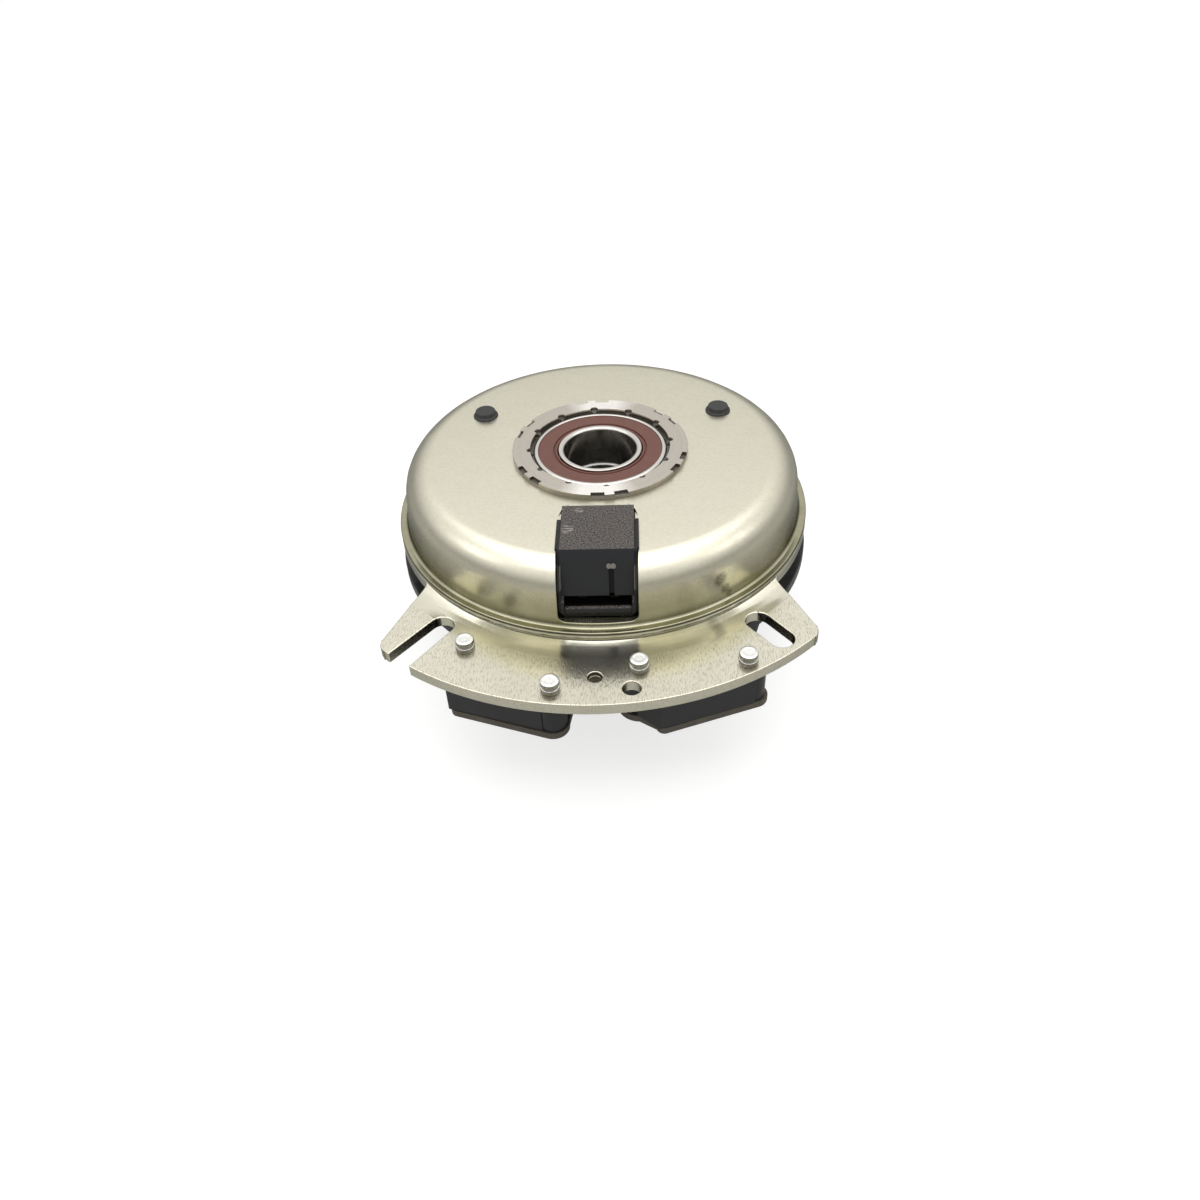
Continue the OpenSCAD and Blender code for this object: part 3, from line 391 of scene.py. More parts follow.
def handled_nylon():
    material, tree, mm = new_material("handled_black_nylon")
    grain = noise(tree, mm, 0.5, 5.0)
    patch = noise(tree, mm, 3.0, 3.0)
    strokes = noise(tree, mm, 0.5, 1.0, stretch=(6, 1.2, 1), at=(2, 0, 0))
    parts = add(tree, "ShaderNodeSeparateXYZ", {"Vector": mm})
    top = facing_up(tree, 0.6, 0.95)
    colour = mixed(tree, between(tree, grain, 0.0, 1.0, 0.4, 0.6), "#100D0C", "#736D68")
    colour = mixed(tree, between(tree, patch, 0.0, 0.35, 0.45, 0.7), colour, "#635E5A")
    colour = mixed(tree, top, "#2E2F32", colour)
    for centre, reach in ((SCUFF_MM, 2.6), (SCRATCH_MM, 1.8)):
        mark = math_node(tree, "MULTIPLY", near(tree, mm, centre, reach),
                         between(tree, strokes, 0.0, 0.8, 0.5, 0.6))
        colour = mixed(tree, mark, colour, "#B5B0AB")
    side = math_node(tree, "ABSOLUTE", parts.outputs["X"])
    wing_shade = between(tree, side, 0.0, 0.85, 11.5, 11.8)
    inside = math_node(tree, "MULTIPLY",
                       between(tree, parts.outputs["Z"], 1.0, 0.0, 55.8, 56.2),
                       between(tree, parts.outputs["Y"], 0.0, 1.0, -65.4, -65.2))
    foot = between(tree, parts.outputs["Z"], 1.0, 0.0, 51.4, 51.8)
    painted_shade = math_node(tree, "MAXIMUM", wing_shade, math_node(tree, "MAXIMUM", inside, foot))
    # Height above the leaning front face: the stud stands on it, the groove lies in it
    proud = add(tree, "ShaderNodeVectorMath", {0: mm, 1: FRONT_FACE_NORMAL},
                operation="DOT_PRODUCT").outputs["Value"]
    above = between(tree, parts.outputs["Z"], 0.0, 1.0, 60.0, 60.5)
    stud = between(tree, proud, 0.0, 1.0, FRONT_FACE_AT + 0.4, FRONT_FACE_AT + 0.6)
    colour = mixed(tree, math_node(tree, "MULTIPLY", stud, above), colour, "#8C8782")
    across = add(tree, "ShaderNodeMath", {0: parts.outputs["X"], 1: 4.4}, operation="SUBTRACT")
    across = math_node(tree, "ABSOLUTE", across.outputs[0])
    groove = math_node(tree, "MULTIPLY", between(tree, across, 1.0, 0.0, 0.85, 0.95),
                       between(tree, proud, 1.0, 0.0, FRONT_FACE_AT - 0.3, FRONT_FACE_AT - 0.1))
    groove = math_node(tree, "MULTIPLY", groove,
                       between(tree, parts.outputs["Y"], 1.0, 0.0, -60.2, -60.0))
    painted_shade = math_node(tree, "MAXIMUM", painted_shade, groove)
    # Painted shade: the wings, the mouth's inside, the foot and the latch's groove are near black
    colour = mixed(tree, painted_shade, colour, "#070708")
    rough = math_node(tree, "ADD", between(tree, patch, 0.36, 0.48),
                      math_node(tree, "MULTIPLY", top, 0.14))
    normal = bumped(tree, grain, between(tree, top, 0.08, 0.6, 0.0, 1.0), 0.08)
    shader = add(tree, "ShaderNodeBsdfPrincipled", {
        "Base Color": colour, "Metallic": 0.0, "Roughness": rough, "Normal": normal,
        "IOR": 1.53, "Specular IOR Level": 0.3})
    output(tree, shader)
    return material


# %% [markdown]
# Rubber is duller than nylon and has no grain of its own. The seals are a nitrile rubber
# coloured red-brown, wiped clean but with a little dust, and their moulded marks are left bare.

# %% Finish of seals and plugs
def rubber(name, base, dusty, rough_low, rough_high):
    material, tree, mm = new_material(name)
    dust = noise(tree, mm, 2.2, 5.0)
    skin = noise(tree, mm, 0.4, 2.0)
    colour = mixed(tree, between(tree, dust, 0.0, 0.5, 0.4, 0.75), base, dusty)
    rough = between(tree, dust, rough_low, rough_high)
    normal = bumped(tree, skin, 0.15, 0.04)
    shader = add(tree, "ShaderNodeBsdfPrincipled", {
        "Base Color": colour, "Metallic": 0.0, "Roughness": rough, "Normal": normal,
        "IOR": 1.52})
    output(tree, shader)
    return material


# %% [markdown]
# Armature and pulley are painted satin black over cast or pressed steel. The paint film
# levels out, so it keeps only a faint orange peel, and handling leaves lighter rubbed patches.

# %% Finish of the painted pieces
def painted_steel(name, paint, rubbed, rough_low, rough_high, metallic):
    material, tree, mm = new_material(name)
    peel = noise(tree, mm, 0.9, 2.0)
    patch = noise(tree, mm, 6.0, 5.0)
    colour = mixed(tree, between(tree, patch, 0.0, 0.6, 0.45, 0.8), paint, rubbed)
    rough = between(tree, patch, rough_low, rough_high)
    normal = bumped(tree, peel, 0.18, 0.06)
    shader = add(tree, "ShaderNodeBsdfPrincipled", {
        "Base Color": colour, "Metallic": metallic, "Roughness": rough, "Normal": normal})
    output(tree, shader)
    return material


# %% [markdown]
# Rivets are soft aluminium, headed cold, so their heads carry faint marks of the tool. The
# springs, the snap rings and the cages are plain strip steel with a light grain.

# %% Finish of plain metal pieces
def plain_metal(name, light, dark, rough_low, rough_high, mark_mm, depth):
    material, tree, mm = new_material(name)
    marks = noise(tree, mm, mark_mm, 3.0)
    patch = noise(tree, mm, 2.5, 3.0)
    colour = mixed(tree, between(tree, patch, 0.0, 1.0), light, dark)
    rough = between(tree, marks, rough_low, rough_high)
    normal = bumped(tree, marks, depth, 0.05)
    shader = add(tree, "ShaderNodeBsdfPrincipled", {
        "Base Color": colour, "Metallic": 1.0, "Roughness": rough, "Normal": normal})
    output(tree, shader)
    return material


# %% [markdown]
# The copper winding shows its turns as rows of wire. The noise of the other finishes would
# not do here: a wave pattern across the height draws each turn as a ridge.

# %% Finish of the winding
WIRE_MM = 0.9


def enamelled_copper():
    material, tree, mm = new_material("enamelled_copper_wire")
    turns = add(tree, "ShaderNodeTexWave", {"Vector": mm, "Scale": 0.314 / WIRE_MM,
                                            "Distortion": 0.2},
                wave_type="BANDS", bands_direction="Z", wave_profile="SIN")
    # The colour follows the turns: darker between them as painted shade, lighter on their crests
    # as painted highlight
    colour = mixed(tree, turns.outputs["Fac"], "#7A3A1E", "#C07A48")
    normal = bumped(tree, turns.outputs["Fac"], 0.6, 0.3)
    shader = add(tree, "ShaderNodeBsdfPrincipled", {
        "Base Color": colour, "Metallic": 0.7, "Roughness": 0.32, "Normal": normal})
    output(tree, shader)
    return material


# %% [markdown]
# A rivet's head was pressed flat, so its top is bright and lightly dented. Its short side has
# drag marks from the heading tool, and it is painted darker as shade.

# %% Finish of the rivets
def headed_aluminium():
    material, tree, mm = new_material("headed_aluminium")
    dents = noise(tree, mm, 0.9, 3.0)
    drag = noise(tree, mm, 0.3, 2.0, stretch=(1, 1, 5))
    side = math_node(tree, "SUBTRACT", 1.0, facing_up(tree, 0.35, 0.8))
    top = mixed(tree, between(tree, dents, 0.0, 1.0), "#F0EFEC", "#D3D2CD")
    shaded_flank = mixed(tree, between(tree, drag, 0.0, 1.0), "#9C9A92", "#66645D")
    colour = mixed(tree, side, top, shaded_flank)
    rough = between(tree, dents, 0.3, 0.42)
    normal = bumped(tree, dents, 0.5, 0.08)
    shader = add(tree, "ShaderNodeBsdfPrincipled", {
        "Base Color": colour, "Metallic": 1.0, "Roughness": rough, "Normal": normal})
    output(tree, shader)
    return material


# %% Make one material for each slot of the record
finishes = {
    "zinc_steel": passivated_drawn_steel(),
    "brushed_plate": passivated_brushed_steel(),
    "turned_steel": ringed_steel("turned_steel", "#C2C0BC", "#AEACA7", 0.2, 0.27, 0.22, 0.2,
                                 0.5),
    "hub_face": ringed_steel("turned_hub_face", "#C5BEB3", "#B5AEA3", 0.2, 0.28, 0.22, 0.2,
                             0.4, (69.5, 71.4)),
    "bearing_steel": ringed_steel("ground_bearing_steel", "#D6D2CC", "#C0BBB4", 0.14, 0.24,
                                  0.16, 0.15),
    "pressed_steel": plain_metal("pressed_strip_steel", "#B5B3AE", "#94928D", 0.28, 0.42,
                                 0.8, 0.2),
    "spring_steel": plain_metal("blued_spring_steel", "#5F6166", "#45464B", 0.25, 0.4,
                                0.6, 0.2),
    "dark_steel": painted_steel("oxidised_pole_steel", "#625D54", "#7B756A", 0.4, 0.55, 0.6),
    "black_paint": painted_steel("satin_black_paint", "#131415", "#232426", 0.32, 0.46, 0.0),
    "rivet_metal": headed_aluminium(),
    "socket_nylon": handled_nylon(),
    "black_plastic": moulded_nylon("black_nylon", "#1D1D1E", "#6A6763", 0.75, 0.36, 0.5),
    "brake_nylon": moulded_nylon("smooth_black_nylon", "#17181A", "#2C2C2E", 0.5, 0.28, 0.38),
    "black_rubber": rubber("black_plug_rubber", "#242425", "#4A4947", 0.5, 0.68),
    "seal_rubber": rubber("red_brown_nitrile", "#693C30", "#7C5143", 0.36, 0.5),
    "copper": enamelled_copper(),
    "resin": rubber("cast_resin", "#2B2927", "#3B3835", 0.3, 0.45),
    "terminal_brass": plain_metal("dull_brass", "#5F5A48", "#484435", 0.4, 0.55, 0.5, 0.15),
    "ferrite": rubber("sintered_ferrite", "#3A3B3E", "#4C4D50", 0.55, 0.7),
}
print("finishes:", len(finishes))

# %% [markdown]
# A node of the construction model that keeps its own mesh only gets its finish here. The
# pieces that are modelled further on take theirs when they are made.

# %% Dress the construction nodes
SPECIAL_FINISH = {"mounting_plate": "brushed_plate", "brake_spacer_a": "brake_nylon",
                  "brake_spacer_b": "brake_nylon", "connector_housing": "socket_nylon",
                  "field_hub": "hub_face"}


def finish_for(node):
    """The material of a node: its slot's, or a closer one for a few pieces."""
    return finishes[SPECIAL_FINISH.get(node, slot_of[node])]


for node, piece in frame["nodes"].items():
    piece.data.materials.clear()
    piece.data.materials.append(finish_for(node))
print("dressed nodes:", len(frame["nodes"]))

# %% [markdown]
# Blender's operators act on all that is selected, and loading leaves every node selected. So
# each step starts from an empty selection. These helpers go in and out of edit mode and apply
# a modifier by name.

# %% Selection and modifiers
def only(piece):
    """Selects one object and makes it active."""
    bpy.ops.object.select_all(action="DESELECT")
    piece.select_set(True)
    bpy.context.view_layer.objects.active = piece


def apply_modifier(piece, kind, **settings):
    """Adds one modifier with its settings and applies it at once."""
    modifier = piece.modifiers.new(kind.lower(), kind)
    for key, value in settings.items():
        setattr(modifier, key, value)
    only(piece)
    bpy.ops.object.modifier_apply(modifier=modifier.name)


def smoothed(piece, angle=32):
    """Smooth shading with sharp edges kept, flat faces kept flat by weighted normals."""
    only(piece)
    bpy.ops.object.shade_smooth_by_angle(angle=math.radians(angle))
    apply_modifier(piece, "WEIGHTED_NORMAL", mode="FACE_AREA", keep_sharp=True)


def placed(piece, node):
    """Gives a finished piece its material and body, and lets it stand for a node."""
    piece.data.materials.clear()
    piece.data.materials.append(finish_for(node))
    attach(piece, body_of[node])
    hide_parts(node)
    print(piece.name, "faces:", len(piece.data.polygons))


# %% [markdown]
# Round pieces are turned, as on a lathe. The outline of one side is drawn as a loop of points
# in radius and height, its corners rounded, and the spin tool sweeps it round an axis. A loop
# that starts and ends on the axis leaves a pole there, which is closed by merging its points.

# %% Turn an outline round an axis
def rounded(corners, arc_steps=5):
    """Points of an outline. A corner is (radius, height) or (radius, height, rounding) in mm."""
    points = []
    count = len(corners)
    for i, corner in enumerate(corners):
        here = Vector(corner[:2])
        if len(corner) < 3:
            points.append(here)
            continue
        before = Vector(corners[i - 1][:2]) - here
        after = Vector(corners[(i + 1) % count][:2]) - here
        half = before.angle(after) / 2
        reach = corner[2] / math.tan(half)
        centre = here + (before.normalized() + after.normalized()).normalized() \
            * (corner[2] / math.sin(half))
        start = here + before.normalized() * reach - centre
        end = here + after.normalized() * reach - centre
        turn = start.angle_signed(end)
        for step in range(arc_steps + 1):
            angle = -turn * step / arc_steps
            points.append(centre + Matrix.Rotation(angle, 2) @ start)
    return points


def turned(name, outline, steps=96, axis_mm=(0, 0)):
    """A solid of revolution from an outline in mm, about a vertical axis."""
    bpy.ops.object.select_all(action="DESELECT")
    bpy.ops.mesh.primitive_circle_add(vertices=len(outline), radius=MM)
    piece = bpy.context.object
    piece.name = name
    for vertex, point in zip(piece.data.vertices, outline):
        vertex.co = Vector((axis_mm[0] + point[0], axis_mm[1], point[1])) * MM
    on_axis = [v.index for v, p in zip(piece.data.vertices, outline) if abs(p[0]) < 1e-6]
    bpy.ops.object.mode_set(mode="EDIT")
    bpy.ops.mesh.select_mode(type="EDGE")
    if len(on_axis) == 2:
        bpy.ops.mesh.select_all(action="DESELECT")
        bpy.ops.object.mode_set(mode="OBJECT")
        for edge in piece.data.edges:
            edge.select = set(edge.vertices) == set(on_axis)
        bpy.ops.object.mode_set(mode="EDIT")
        bpy.ops.mesh.delete(type="EDGE")
    bpy.ops.mesh.select_all(action="SELECT")
    bpy.ops.mesh.spin(steps=steps, angle=2 * math.pi, axis=(0, 0, 1),
                      center=(axis_mm[0] * MM, axis_mm[1] * MM, 0))
    bpy.ops.mesh.select_all(action="SELECT")
    bpy.ops.mesh.remove_doubles(threshold=0.002 * MM)
    bpy.ops.mesh.normals_make_consistent(inside=False)
    bpy.ops.object.mode_set(mode="OBJECT")
    return piece


# %% [markdown]
# Pieces with many flat faces are already exact in the construction model, but their edges are
# knife sharp. A copy of the node is merged, its triangles are dissolved back to flat faces,
# and its edges get the small radius that a punch, a mould or a tumbler leaves. This keeps
# every size and adds the highlights that edges catch.

# %% Round the edges of a copied node
def softened(node, name, edge_mm, segments=2, angle=38):
    """A copy of a construction node with its sharp edges rounded."""
    piece = frame["nodes"][node].copy()
    piece.data = frame["nodes"][node].data.copy()
    piece.name = name
    piece.parent = None
    piece.matrix_world = Matrix.Identity(4)
    for key in list(piece.keys()):
        del piece[key]
    bpy.context.collection.objects.link(piece)
    only(piece)
    bpy.ops.mesh.customdata_custom_splitnormals_clear()
    bpy.ops.object.mode_set(mode="EDIT")
    bpy.ops.mesh.select_all(action="SELECT")
    bpy.ops.mesh.remove_doubles(threshold=0.002 * MM)
    bpy.ops.mesh.dissolve_limited(angle_limit=math.radians(0.4))
    bpy.ops.object.mode_set(mode="OBJECT")
    apply_modifier(piece, "BEVEL", width=edge_mm * MM, segments=segments,
                   limit_method="ANGLE", angle_limit=math.radians(angle),
                   use_clamp_overlap=False, loop_slide=False)
    smoothed(piece)
    placed(piece, node)
    return piece


# %% [markdown]
# The shell is one sheet, drawn to a cup, with its foot rolled out to a lip. It could be a
# revolved curve, but a spun outline gives a wall of real thickness and control over each
# radius. The window for the socket is then cut with a box whose lower corners are rounded.

# %% Turn the drawn shell
SHELL_TOP_Z = 69.5
LIP_R = 73.5
SHELL_OUTLINE = [
    (67.4, FOOT_Z), (LIP_R - 0.1, FOOT_Z, 0.15), (LIP_R, 48.7, 0.45), (70.7, 48.6, 1.1),
    (69.6, 59.5, 0.4), (69.6, SHELL_TOP_Z, 9.6), (54.0, SHELL_TOP_Z),
    (48.0, SHELL_TOP_Z), (42.0, SHELL_TOP_Z), (34.0, SHELL_TOP_Z), (27.0, SHELL_TOP_Z, 0.3),
    (27.0, 66.3), (34.0, 66.3), (42.0, 66.3), (50.0, 66.3), (66.4, 66.3, 6.8), (66.4, 59.5),
    (67.4, 48.7),
]
shell = turned("drawn_shell", rounded(SHELL_OUTLINE, 9), 200)

# %% Cut the window for the socket
WINDOW_Z = 50.2
WINDOW_CORNER = 2.5
# Width in mm, and distance from the shaft that it reaches in to: in front, then at the rear
WINDOW_FRONT = (25.4, 42.4)
WINDOW_REAR = (23.6, 36.5)
# Places in mm that are clear of the shell, in front of it and above it
CLEAR_FRONT, CLEAR_TOP = -80, 90
# Distance in mm within which points are merged after the cut. It is coarser than the points of
# the lip's small corner, which leaves slivers along the foot and takes it 0.1 mm too low.
WELD_MM = 0.12


def block(name, width, front, back, foot, top):
    """A box between the given places in mm, centred on the shaft from left to right."""
    bpy.ops.object.select_all(action="DESELECT")
    bpy.ops.mesh.primitive_cube_add(size=1, location=(0, 0, 0))
    piece = bpy.context.object
    piece.name = name
    for vertex in piece.data.vertices:
        vertex.co.x *= width * MM
        vertex.co.y = (front if vertex.co.y < 0 else back) * MM
        vertex.co.z = (foot if vertex.co.z < 0 else top) * MM
    return piece


def cut_window(width, reach):
    """Cuts a box with rounded lower corners out of the shell's front."""
    cutter = block("window_cutter", width, CLEAR_FRONT, -reach, WINDOW_Z, CLEAR_TOP)
    for edge in cutter.data.edges:
        ends = [cutter.data.vertices[i].co for i in edge.vertices]
        along_y = abs(ends[0].y - ends[1].y) > MM
        edge.select = along_y and ends[0].z < SHELL_TOP_Z * MM
    for face in cutter.data.polygons:
        face.select = False
    bpy.ops.object.mode_set(mode="EDIT")
    bpy.ops.mesh.select_mode(type="EDGE")
    bpy.ops.mesh.bevel(offset=WINDOW_CORNER * MM, segments=6)
    bpy.ops.object.mode_set(mode="OBJECT")
    apply_modifier(shell, "BOOLEAN", operation="DIFFERENCE", object=cutter, solver="EXACT")
    bpy.data.objects.remove(cutter)


cut_window(*WINDOW_FRONT)
cut_window(*WINDOW_REAR)
only(shell)
bpy.ops.object.mode_set(mode="EDIT")
bpy.ops.mesh.select_all(action="SELECT")
bpy.ops.mesh.remove_doubles(threshold=WELD_MM * MM)
bpy.ops.object.mode_set(mode="OBJECT")
apply_modifier(shell, "BEVEL", width=0.3 * MM, segments=3, limit_method="ANGLE",
               angle_limit=math.radians(50), use_clamp_overlap=False, loop_slide=False)
smoothed(shell)
placed(shell, "field_cup")

# %% [markdown]
# The plate, the hub's flange, the brake bodies and their pole plates keep the exact outlines
# of the construction model. Punched steel gets a radius of about a quarter of a millimetre,
# and turned edges get less.

# %% Soften the plate, the hub and the brakes
softened("mounting_plate", "slotted_plate", 0.35, 3)
softened("field_hub", "staked_hub", 0.12)
for side in "ab":
    softened("brake_spacer_" + side, "brake_body_" + side, 0.3)
    softened("brake_pole_" + side, "pole_plate_" + side, 0.25)

# %% Soften the socket
softened("connector_housing", "socket_housing", 0.15)

# %% [markdown]
# The socket's mouth ends in a raised lip, which the plug's latch slides over. It is a bar with
# rounded upper edges along the foot of the mouth.

# %% Lip of the socket's mouth
MOUTH_W = 21.4
LIP_FRONT, LIP_BACK = -67.1, -65.4
LIP_FOOT, LIP_TOP = 51.5, 53.6
LIP_MIDDLE = (LIP_FOOT + LIP_TOP) / 2
bar = block("socket_mouth_lip", MOUTH_W, LIP_FRONT, LIP_BACK, LIP_FOOT, LIP_TOP)
for edge in bar.data.edges:
    edge.select = all(bar.data.vertices[i].co.z > LIP_MIDDLE * MM for i in edge.vertices)
bpy.ops.object.mode_set(mode="EDIT")
bpy.ops.mesh.select_mode(type="EDGE")
bpy.ops.mesh.bevel(offset=0.5 * MM, segments=4)
bpy.ops.object.mode_set(mode="OBJECT")
smoothed(bar)
placed(bar, "connector_housing")

# %% Soften the turning pieces
softened("armature", "armature_ring", 0.35)
softened("rotor", "rotor_disc", 0.3)
softened("rotor_hub", "keyed_hub", 0.2)
softened("pulley", "belt_pulley", 0.4)
softened("leaf_springs", "leaf_springs_edged", 0.12)

# %% [markdown]
# The vent plugs are rubber buttons with a thin flange and a shallow dimple. One is turned at
# its place, and the other is a copy whose mesh is turned about the shaft's axis.

# %% Turn the vent plugs
PLUG_R = 49.7
PLUG_ANGLE = 120
PLUG_OUTLINE = [
    (0, 66.3), (2.8, 66.3), (2.8, 69.5), (4.6, 69.5, 0.05), (4.5, 69.95, 0.2), (3.95, 70.35, 0.3),
    (3.6, 71.7, 0.22), (2.6, 71.6, 0.5), (0, 71.55),
]


def copied(piece, name, turn_deg=0.0, move_mm=(0, 0, 0)):
    """A copy with its own mesh, turned about the shaft and moved inside the mesh."""
    twin = piece.copy()
    twin.data = piece.data.copy()
    twin.name = name
    bpy.context.collection.objects.link(twin)
    shift = Matrix.Translation(Vector(move_mm) * MM)
    twin.data.transform(shift @ Matrix.Rotation(math.radians(turn_deg), 4, "Z"))
    return twin


plug_x = PLUG_R * math.sin(math.radians(PLUG_ANGLE))
plug_y = -PLUG_R * math.cos(math.radians(PLUG_ANGLE))
plug = turned("vent_plug_right", rounded(PLUG_OUTLINE), 48, (plug_x, plug_y))
smoothed(plug, 40)
twin_plug = copied(plug, "vent_plug_left", 2 * (180 - PLUG_ANGLE))
for piece in (plug, twin_plug):
    placed(piece, "vent_plugs")

# %% [markdown]
# Each brake hangs from two aluminium rivets. Their heads stand on a narrow collar with a
# groove between, where the heading tool closed. One rivet is turned on the shaft's axis, and
# four copies go to their places.

# %% Turn the rivets
RIVET_OUTLINE = [
    (0, 27.6), (2.9, 27.6, 0.5), (3.2, 28.1, 0.2), (3.2, 28.6, 0.05), (2.2, 28.6), (2.2, 46.5),
    (3.05, 46.5, 0.05), (3.05, 47.1, 0.25), (2.4, 47.25, 0.1), (2.4, 47.6, 0.1),
    (2.95, 47.75, 0.2), (2.95, 49.3, 0.3), (2.2, 49.5, 0.8), (1.2, 49.42, 1.0), (0, 49.45),
]
BRAKE_ANGLES = (-17.8, 19.6)
RIVET_PLACES = ((-16.75, -84.7), (15.3, -94.0))
rivet = turned("rivet_pattern", rounded(RIVET_OUTLINE, 4), 40)
smoothed(rivet, 40)
for i, angle in enumerate(BRAKE_ANGLES):
    for j, place in enumerate(RIVET_PLACES):
        twin = copied(rivet, f"brake_rivet_{i}{j}", 0, (*place, 0))
        twin.data.transform(Matrix.Rotation(math.radians(angle), 4, "Z"))
        placed(twin, "brake_rivets")
bpy.data.objects.remove(rivet)

# %% [markdown]
# A sealed ball bearing has ground rings with rounded corners, and between them a rubber seal
# with a shallow groove and a lip that runs on the inner ring. Both bearings have the same
# outlines at other sizes, so one function makes the pieces of either.

# %% Turn the bearings' rings and seals
def bearing_pieces(label, bore_r, outer_r, pitch_r, land, z0, width, ball_r):
    """Both rings and both seals of one bearing."""
    mid = z0 + width / 2
    top = z0 + width
    gap = 0.08
    drop = math.sqrt((ball_r + gap) ** 2 - land ** 2)
    groove = [(pitch_r - (ball_r + gap) * math.cos(a), mid + (ball_r + gap) * math.sin(a))
              for a in (math.asin(drop / (ball_r + gap)) * (1 - k / 4) for k in range(9))]
    inner = [(bore_r, z0, 0.7), (pitch_r - land, z0, 0.35)] + groove[::-1] \
        + [(pitch_r - land, top, 0.35), (bore_r, top, 0.9)]
    wide = land + 0.3
    drop = math.sqrt((ball_r + gap) ** 2 - wide ** 2)
    groove = [(pitch_r + (ball_r + gap) * math.cos(a), mid + (ball_r + gap) * math.sin(a))
              for a in (math.asin(drop / (ball_r + gap)) * (1 - k / 4) for k in range(9))]
    outer = [(outer_r, z0, 0.9), (outer_r, top, 0.9), (pitch_r + wide, top, 0.35)] \
        + groove + [(pitch_r + wide, z0, 0.35)]
    for name, outline in (("inner_ring", inner), ("outer_ring", outer)):
        ring = turned(f"{label}_{name}_ground", rounded(outline, 4), 120)
        smoothed(ring, 40)
        placed(ring, f"{label}_{name}")
    r0 = pitch_r - land + 0.3
    r1 = pitch_r + wide
    seal = [(r0, top - 1.2), (r1, top - 1.2), (r1, top - 0.45, 0.1), (r1 - 0.7, top - 0.3, 0.2),
            (r1 - 1.3, top - 0.38, 0.1), (r0 + 1.55, top - 0.38, 0.12),
            (r0 + 1.4, top - 1.0, 0.1), (r0 + 0.95, top - 1.0, 0.1),
            (r0 + 0.8, top - 0.45, 0.12), (r0 + 0.15, top - 0.5, 0.1), (r0, top - 0.9)]
    upper = turned(f"{label}_seal_top", rounded(seal, 3), 120)
    smoothed(upper, 40)
    under = [(r, 2 * mid - z, *more) for r, z, *more in seal]
    lower = turned(f"{label}_seal_under", rounded(under, 3), 120)
    smoothed(lower, 40)
    for piece in (upper, lower):
        placed(piece, f"{label}_seals")


bearing_pieces("field_bearing", 12.7, 23.5, 18.1, 3.4, 55.4, 15.0, 3.97)
bearing_pieces("pulley_bearing", 17.5, 31.0, 24.25, 2.9, 6.5, 14.0, 4.2)

# %% [markdown]
# The photograph shows the clutch on plain white with hardly a shadow. The floor is pale, and
# for rays from the camera or from a mirror-like surface it glows a little, so that it reads as
# white while it keeps the soft shadow under the part.

# %% Floor
CAMERA_GLOW = 0.71
MIRROR_GLOW = 0.08


def studio_white():
    material, tree = empty_material("studio_floor")
    path = add(tree, "ShaderNodeLightPath")
    mirrored = math_node(tree, "MAXIMUM", path.outputs["Is Glossy Ray"],
                         path.outputs["Is Transmission Ray"])
    glow_seen = math_node(tree, "MULTIPLY", path.outputs["Is Camera Ray"], CAMERA_GLOW)
    glow_mirrored = math_node(tree, "MULTIPLY", mirrored, MIRROR_GLOW)
    paint = add(tree, "ShaderNodeBsdfDiffuse", {"Color": linear("#BFBFBC")})
    glow = add(tree, "ShaderNodeEmission", {
        "Color": (1, 1, 1, 1), "Strength": math_node(tree, "ADD", glow_seen, glow_mirrored)})
    both = add(tree, "ShaderNodeAddShader", {0: paint.outputs[0], 1: glow.outputs[0]})
    add(tree, "ShaderNodeOutputMaterial", {"Surface": both.outputs[0]})
    return material


bpy.ops.object.select_all(action="DESELECT")
bpy.ops.mesh.primitive_circle_add(vertices=64, radius=4.0, fill_type="NGON")
floor = bpy.context.object
floor.name = "floor"
floor.data.materials.append(studio_white())

# %% [markdown]
# Shiny metal looks flat where all round it is white. So a photographer stands a grey cloth
# round the foot of the tent, out of the picture, and the metal's edges darken where they
# mirror it. It is dark at its foot and white at its top, and only reflections see it.

# %% Grey cloth round the tent
CLOTH_R_M = 1.2
CLOTH_HEIGHT_M = 0.8


def grey_cloth():
    material, tree = empty_material("grey_studio_cloth")
    place = add(tree, "ShaderNodeTexCoord").outputs["Object"]
    height = add(tree, "ShaderNodeSeparateXYZ", {"Vector": place}).outputs["Z"]
    strength = between(tree, height, 0.3, 1.0, 0.05, CLOTH_HEIGHT_M)
    shine = add(tree, "ShaderNodeEmission", {"Color": (1, 1, 1, 1), "Strength": strength})
    add(tree, "ShaderNodeOutputMaterial", {"Surface": shine.outputs[0]})
    return material


bpy.ops.object.select_all(action="DESELECT")
bpy.ops.mesh.primitive_cylinder_add(vertices=48, radius=CLOTH_R_M, depth=CLOTH_HEIGHT_M,
                                    end_fill_type="NOTHING",
                                    location=(0, 0, CLOTH_HEIGHT_M / 2))
cloth = bpy.context.object
bpy.ops.object.transform_apply(location=True)
cloth.name = "tent_cloth"
cloth.data.materials.append(grey_cloth())
cloth.visible_camera = False
cloth.visible_diffuse = False
cloth.visible_shadow = False

# %% [markdown]
# Soft light comes from a large panel overhead and two at the sides, as in a light tent. The
# world fills the rest: white for the camera and for reflections, and dimmer for the light
# that it throws.

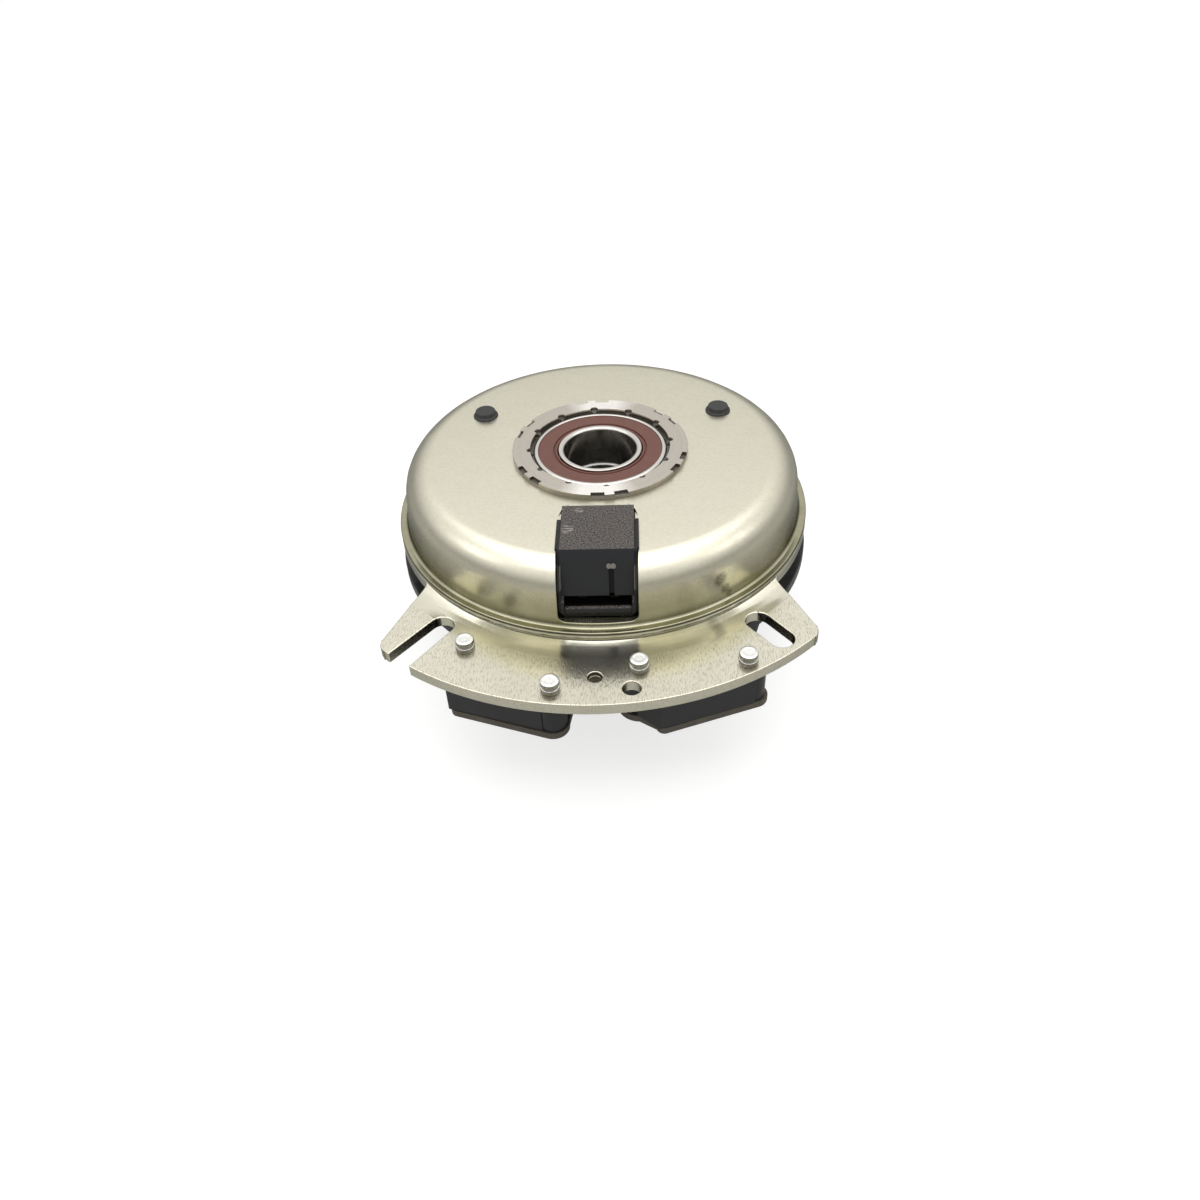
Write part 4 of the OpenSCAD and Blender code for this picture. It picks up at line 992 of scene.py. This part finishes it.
# %% World
world = bpy.data.worlds.new("light_tent")
bpy.context.scene.world = world
world.use_nodes = True
world.node_tree.nodes.clear()
tent = world.node_tree
tent_path = add(tent, "ShaderNodeLightPath")
tent_seen = math_node(tent, "MAXIMUM", tent_path.outputs["Is Camera Ray"],
                      tent_path.outputs["Is Glossy Ray"])
tent_seen = math_node(tent, "MAXIMUM", tent_seen, tent_path.outputs["Is Transmission Ray"])
tent_strength = between(tent, tent_seen, 0.5, 1.0, 0.0, 1.0)
tent_light = add(tent, "ShaderNodeBackground", {"Color": (1, 1, 1, 1),
                                                "Strength": tent_strength})
add(tent, "ShaderNodeOutputWorld", {"Surface": tent_light.outputs["Background"]})


# %% Lamps
# Height in metres of the point that the panels look at
AIM_Z_M = 0.04
OVERHEAD_W = 6.6
SIDE_W = 1.2


def soft_panel(name, place, size, energy):
    """A square area lamp that looks at the part."""
    lamp = bpy.data.lights.new(name, "AREA")
    lamp.shape = "SQUARE"
    lamp.size = size
    lamp.energy = energy
    panel = bpy.data.objects.new(name, lamp)
    bpy.context.collection.objects.link(panel)
    panel.location = place
    aim = Vector((0, 0, AIM_Z_M)) - Vector(place)
    panel.rotation_euler = aim.to_track_quat("-Z", "Y").to_euler()
    return panel


soft_panel("overhead", (0.0, 0.05, 1.1), 1.3, OVERHEAD_W)
soft_panel("left_side", (-1.1, -0.2, 0.8), 0.6, SIDE_W)
soft_panel("right_side", (1.1, -0.2, 0.8), 0.6, SIDE_W)

# %% [markdown]
# The camera stands where the photograph was taken from. Its place, direction and focal length
# were worked out from the circles of the bearing, the flange and the shell.

# %% Camera
CAMERA_PLACE = (0.0131, -0.3124, 0.2686)
YAW, PITCH, ROLL = (math.radians(a) for a in (-2.89, 40.73, -2.82))
LENS_MM = 31.17
SENSOR_MM = 36
forward = Vector((math.sin(YAW) * math.cos(PITCH), math.cos(YAW) * math.cos(PITCH),
                  -math.sin(PITCH)))
level = Vector((math.cos(YAW), -math.sin(YAW), 0))
upright = level.cross(forward)
right = level * math.cos(ROLL) + upright * math.sin(ROLL)
up = upright * math.cos(ROLL) - level * math.sin(ROLL)
lens = bpy.data.cameras.new("photo_camera")
lens.lens = LENS_MM
lens.sensor_width = SENSOR_MM
lens.sensor_fit = "HORIZONTAL"
lens.clip_start = 0.01
camera = bpy.data.objects.new("photo_camera", lens)
bpy.context.collection.objects.link(camera)
camera.matrix_world = Matrix.Translation(CAMERA_PLACE) @ Matrix(
    (right, up, -forward)).transposed().to_4x4()
bpy.context.scene.camera = camera
bpy.context.scene.view_settings.view_transform = "Standard"
print("camera looks along", [round(v, 3) for v in forward])
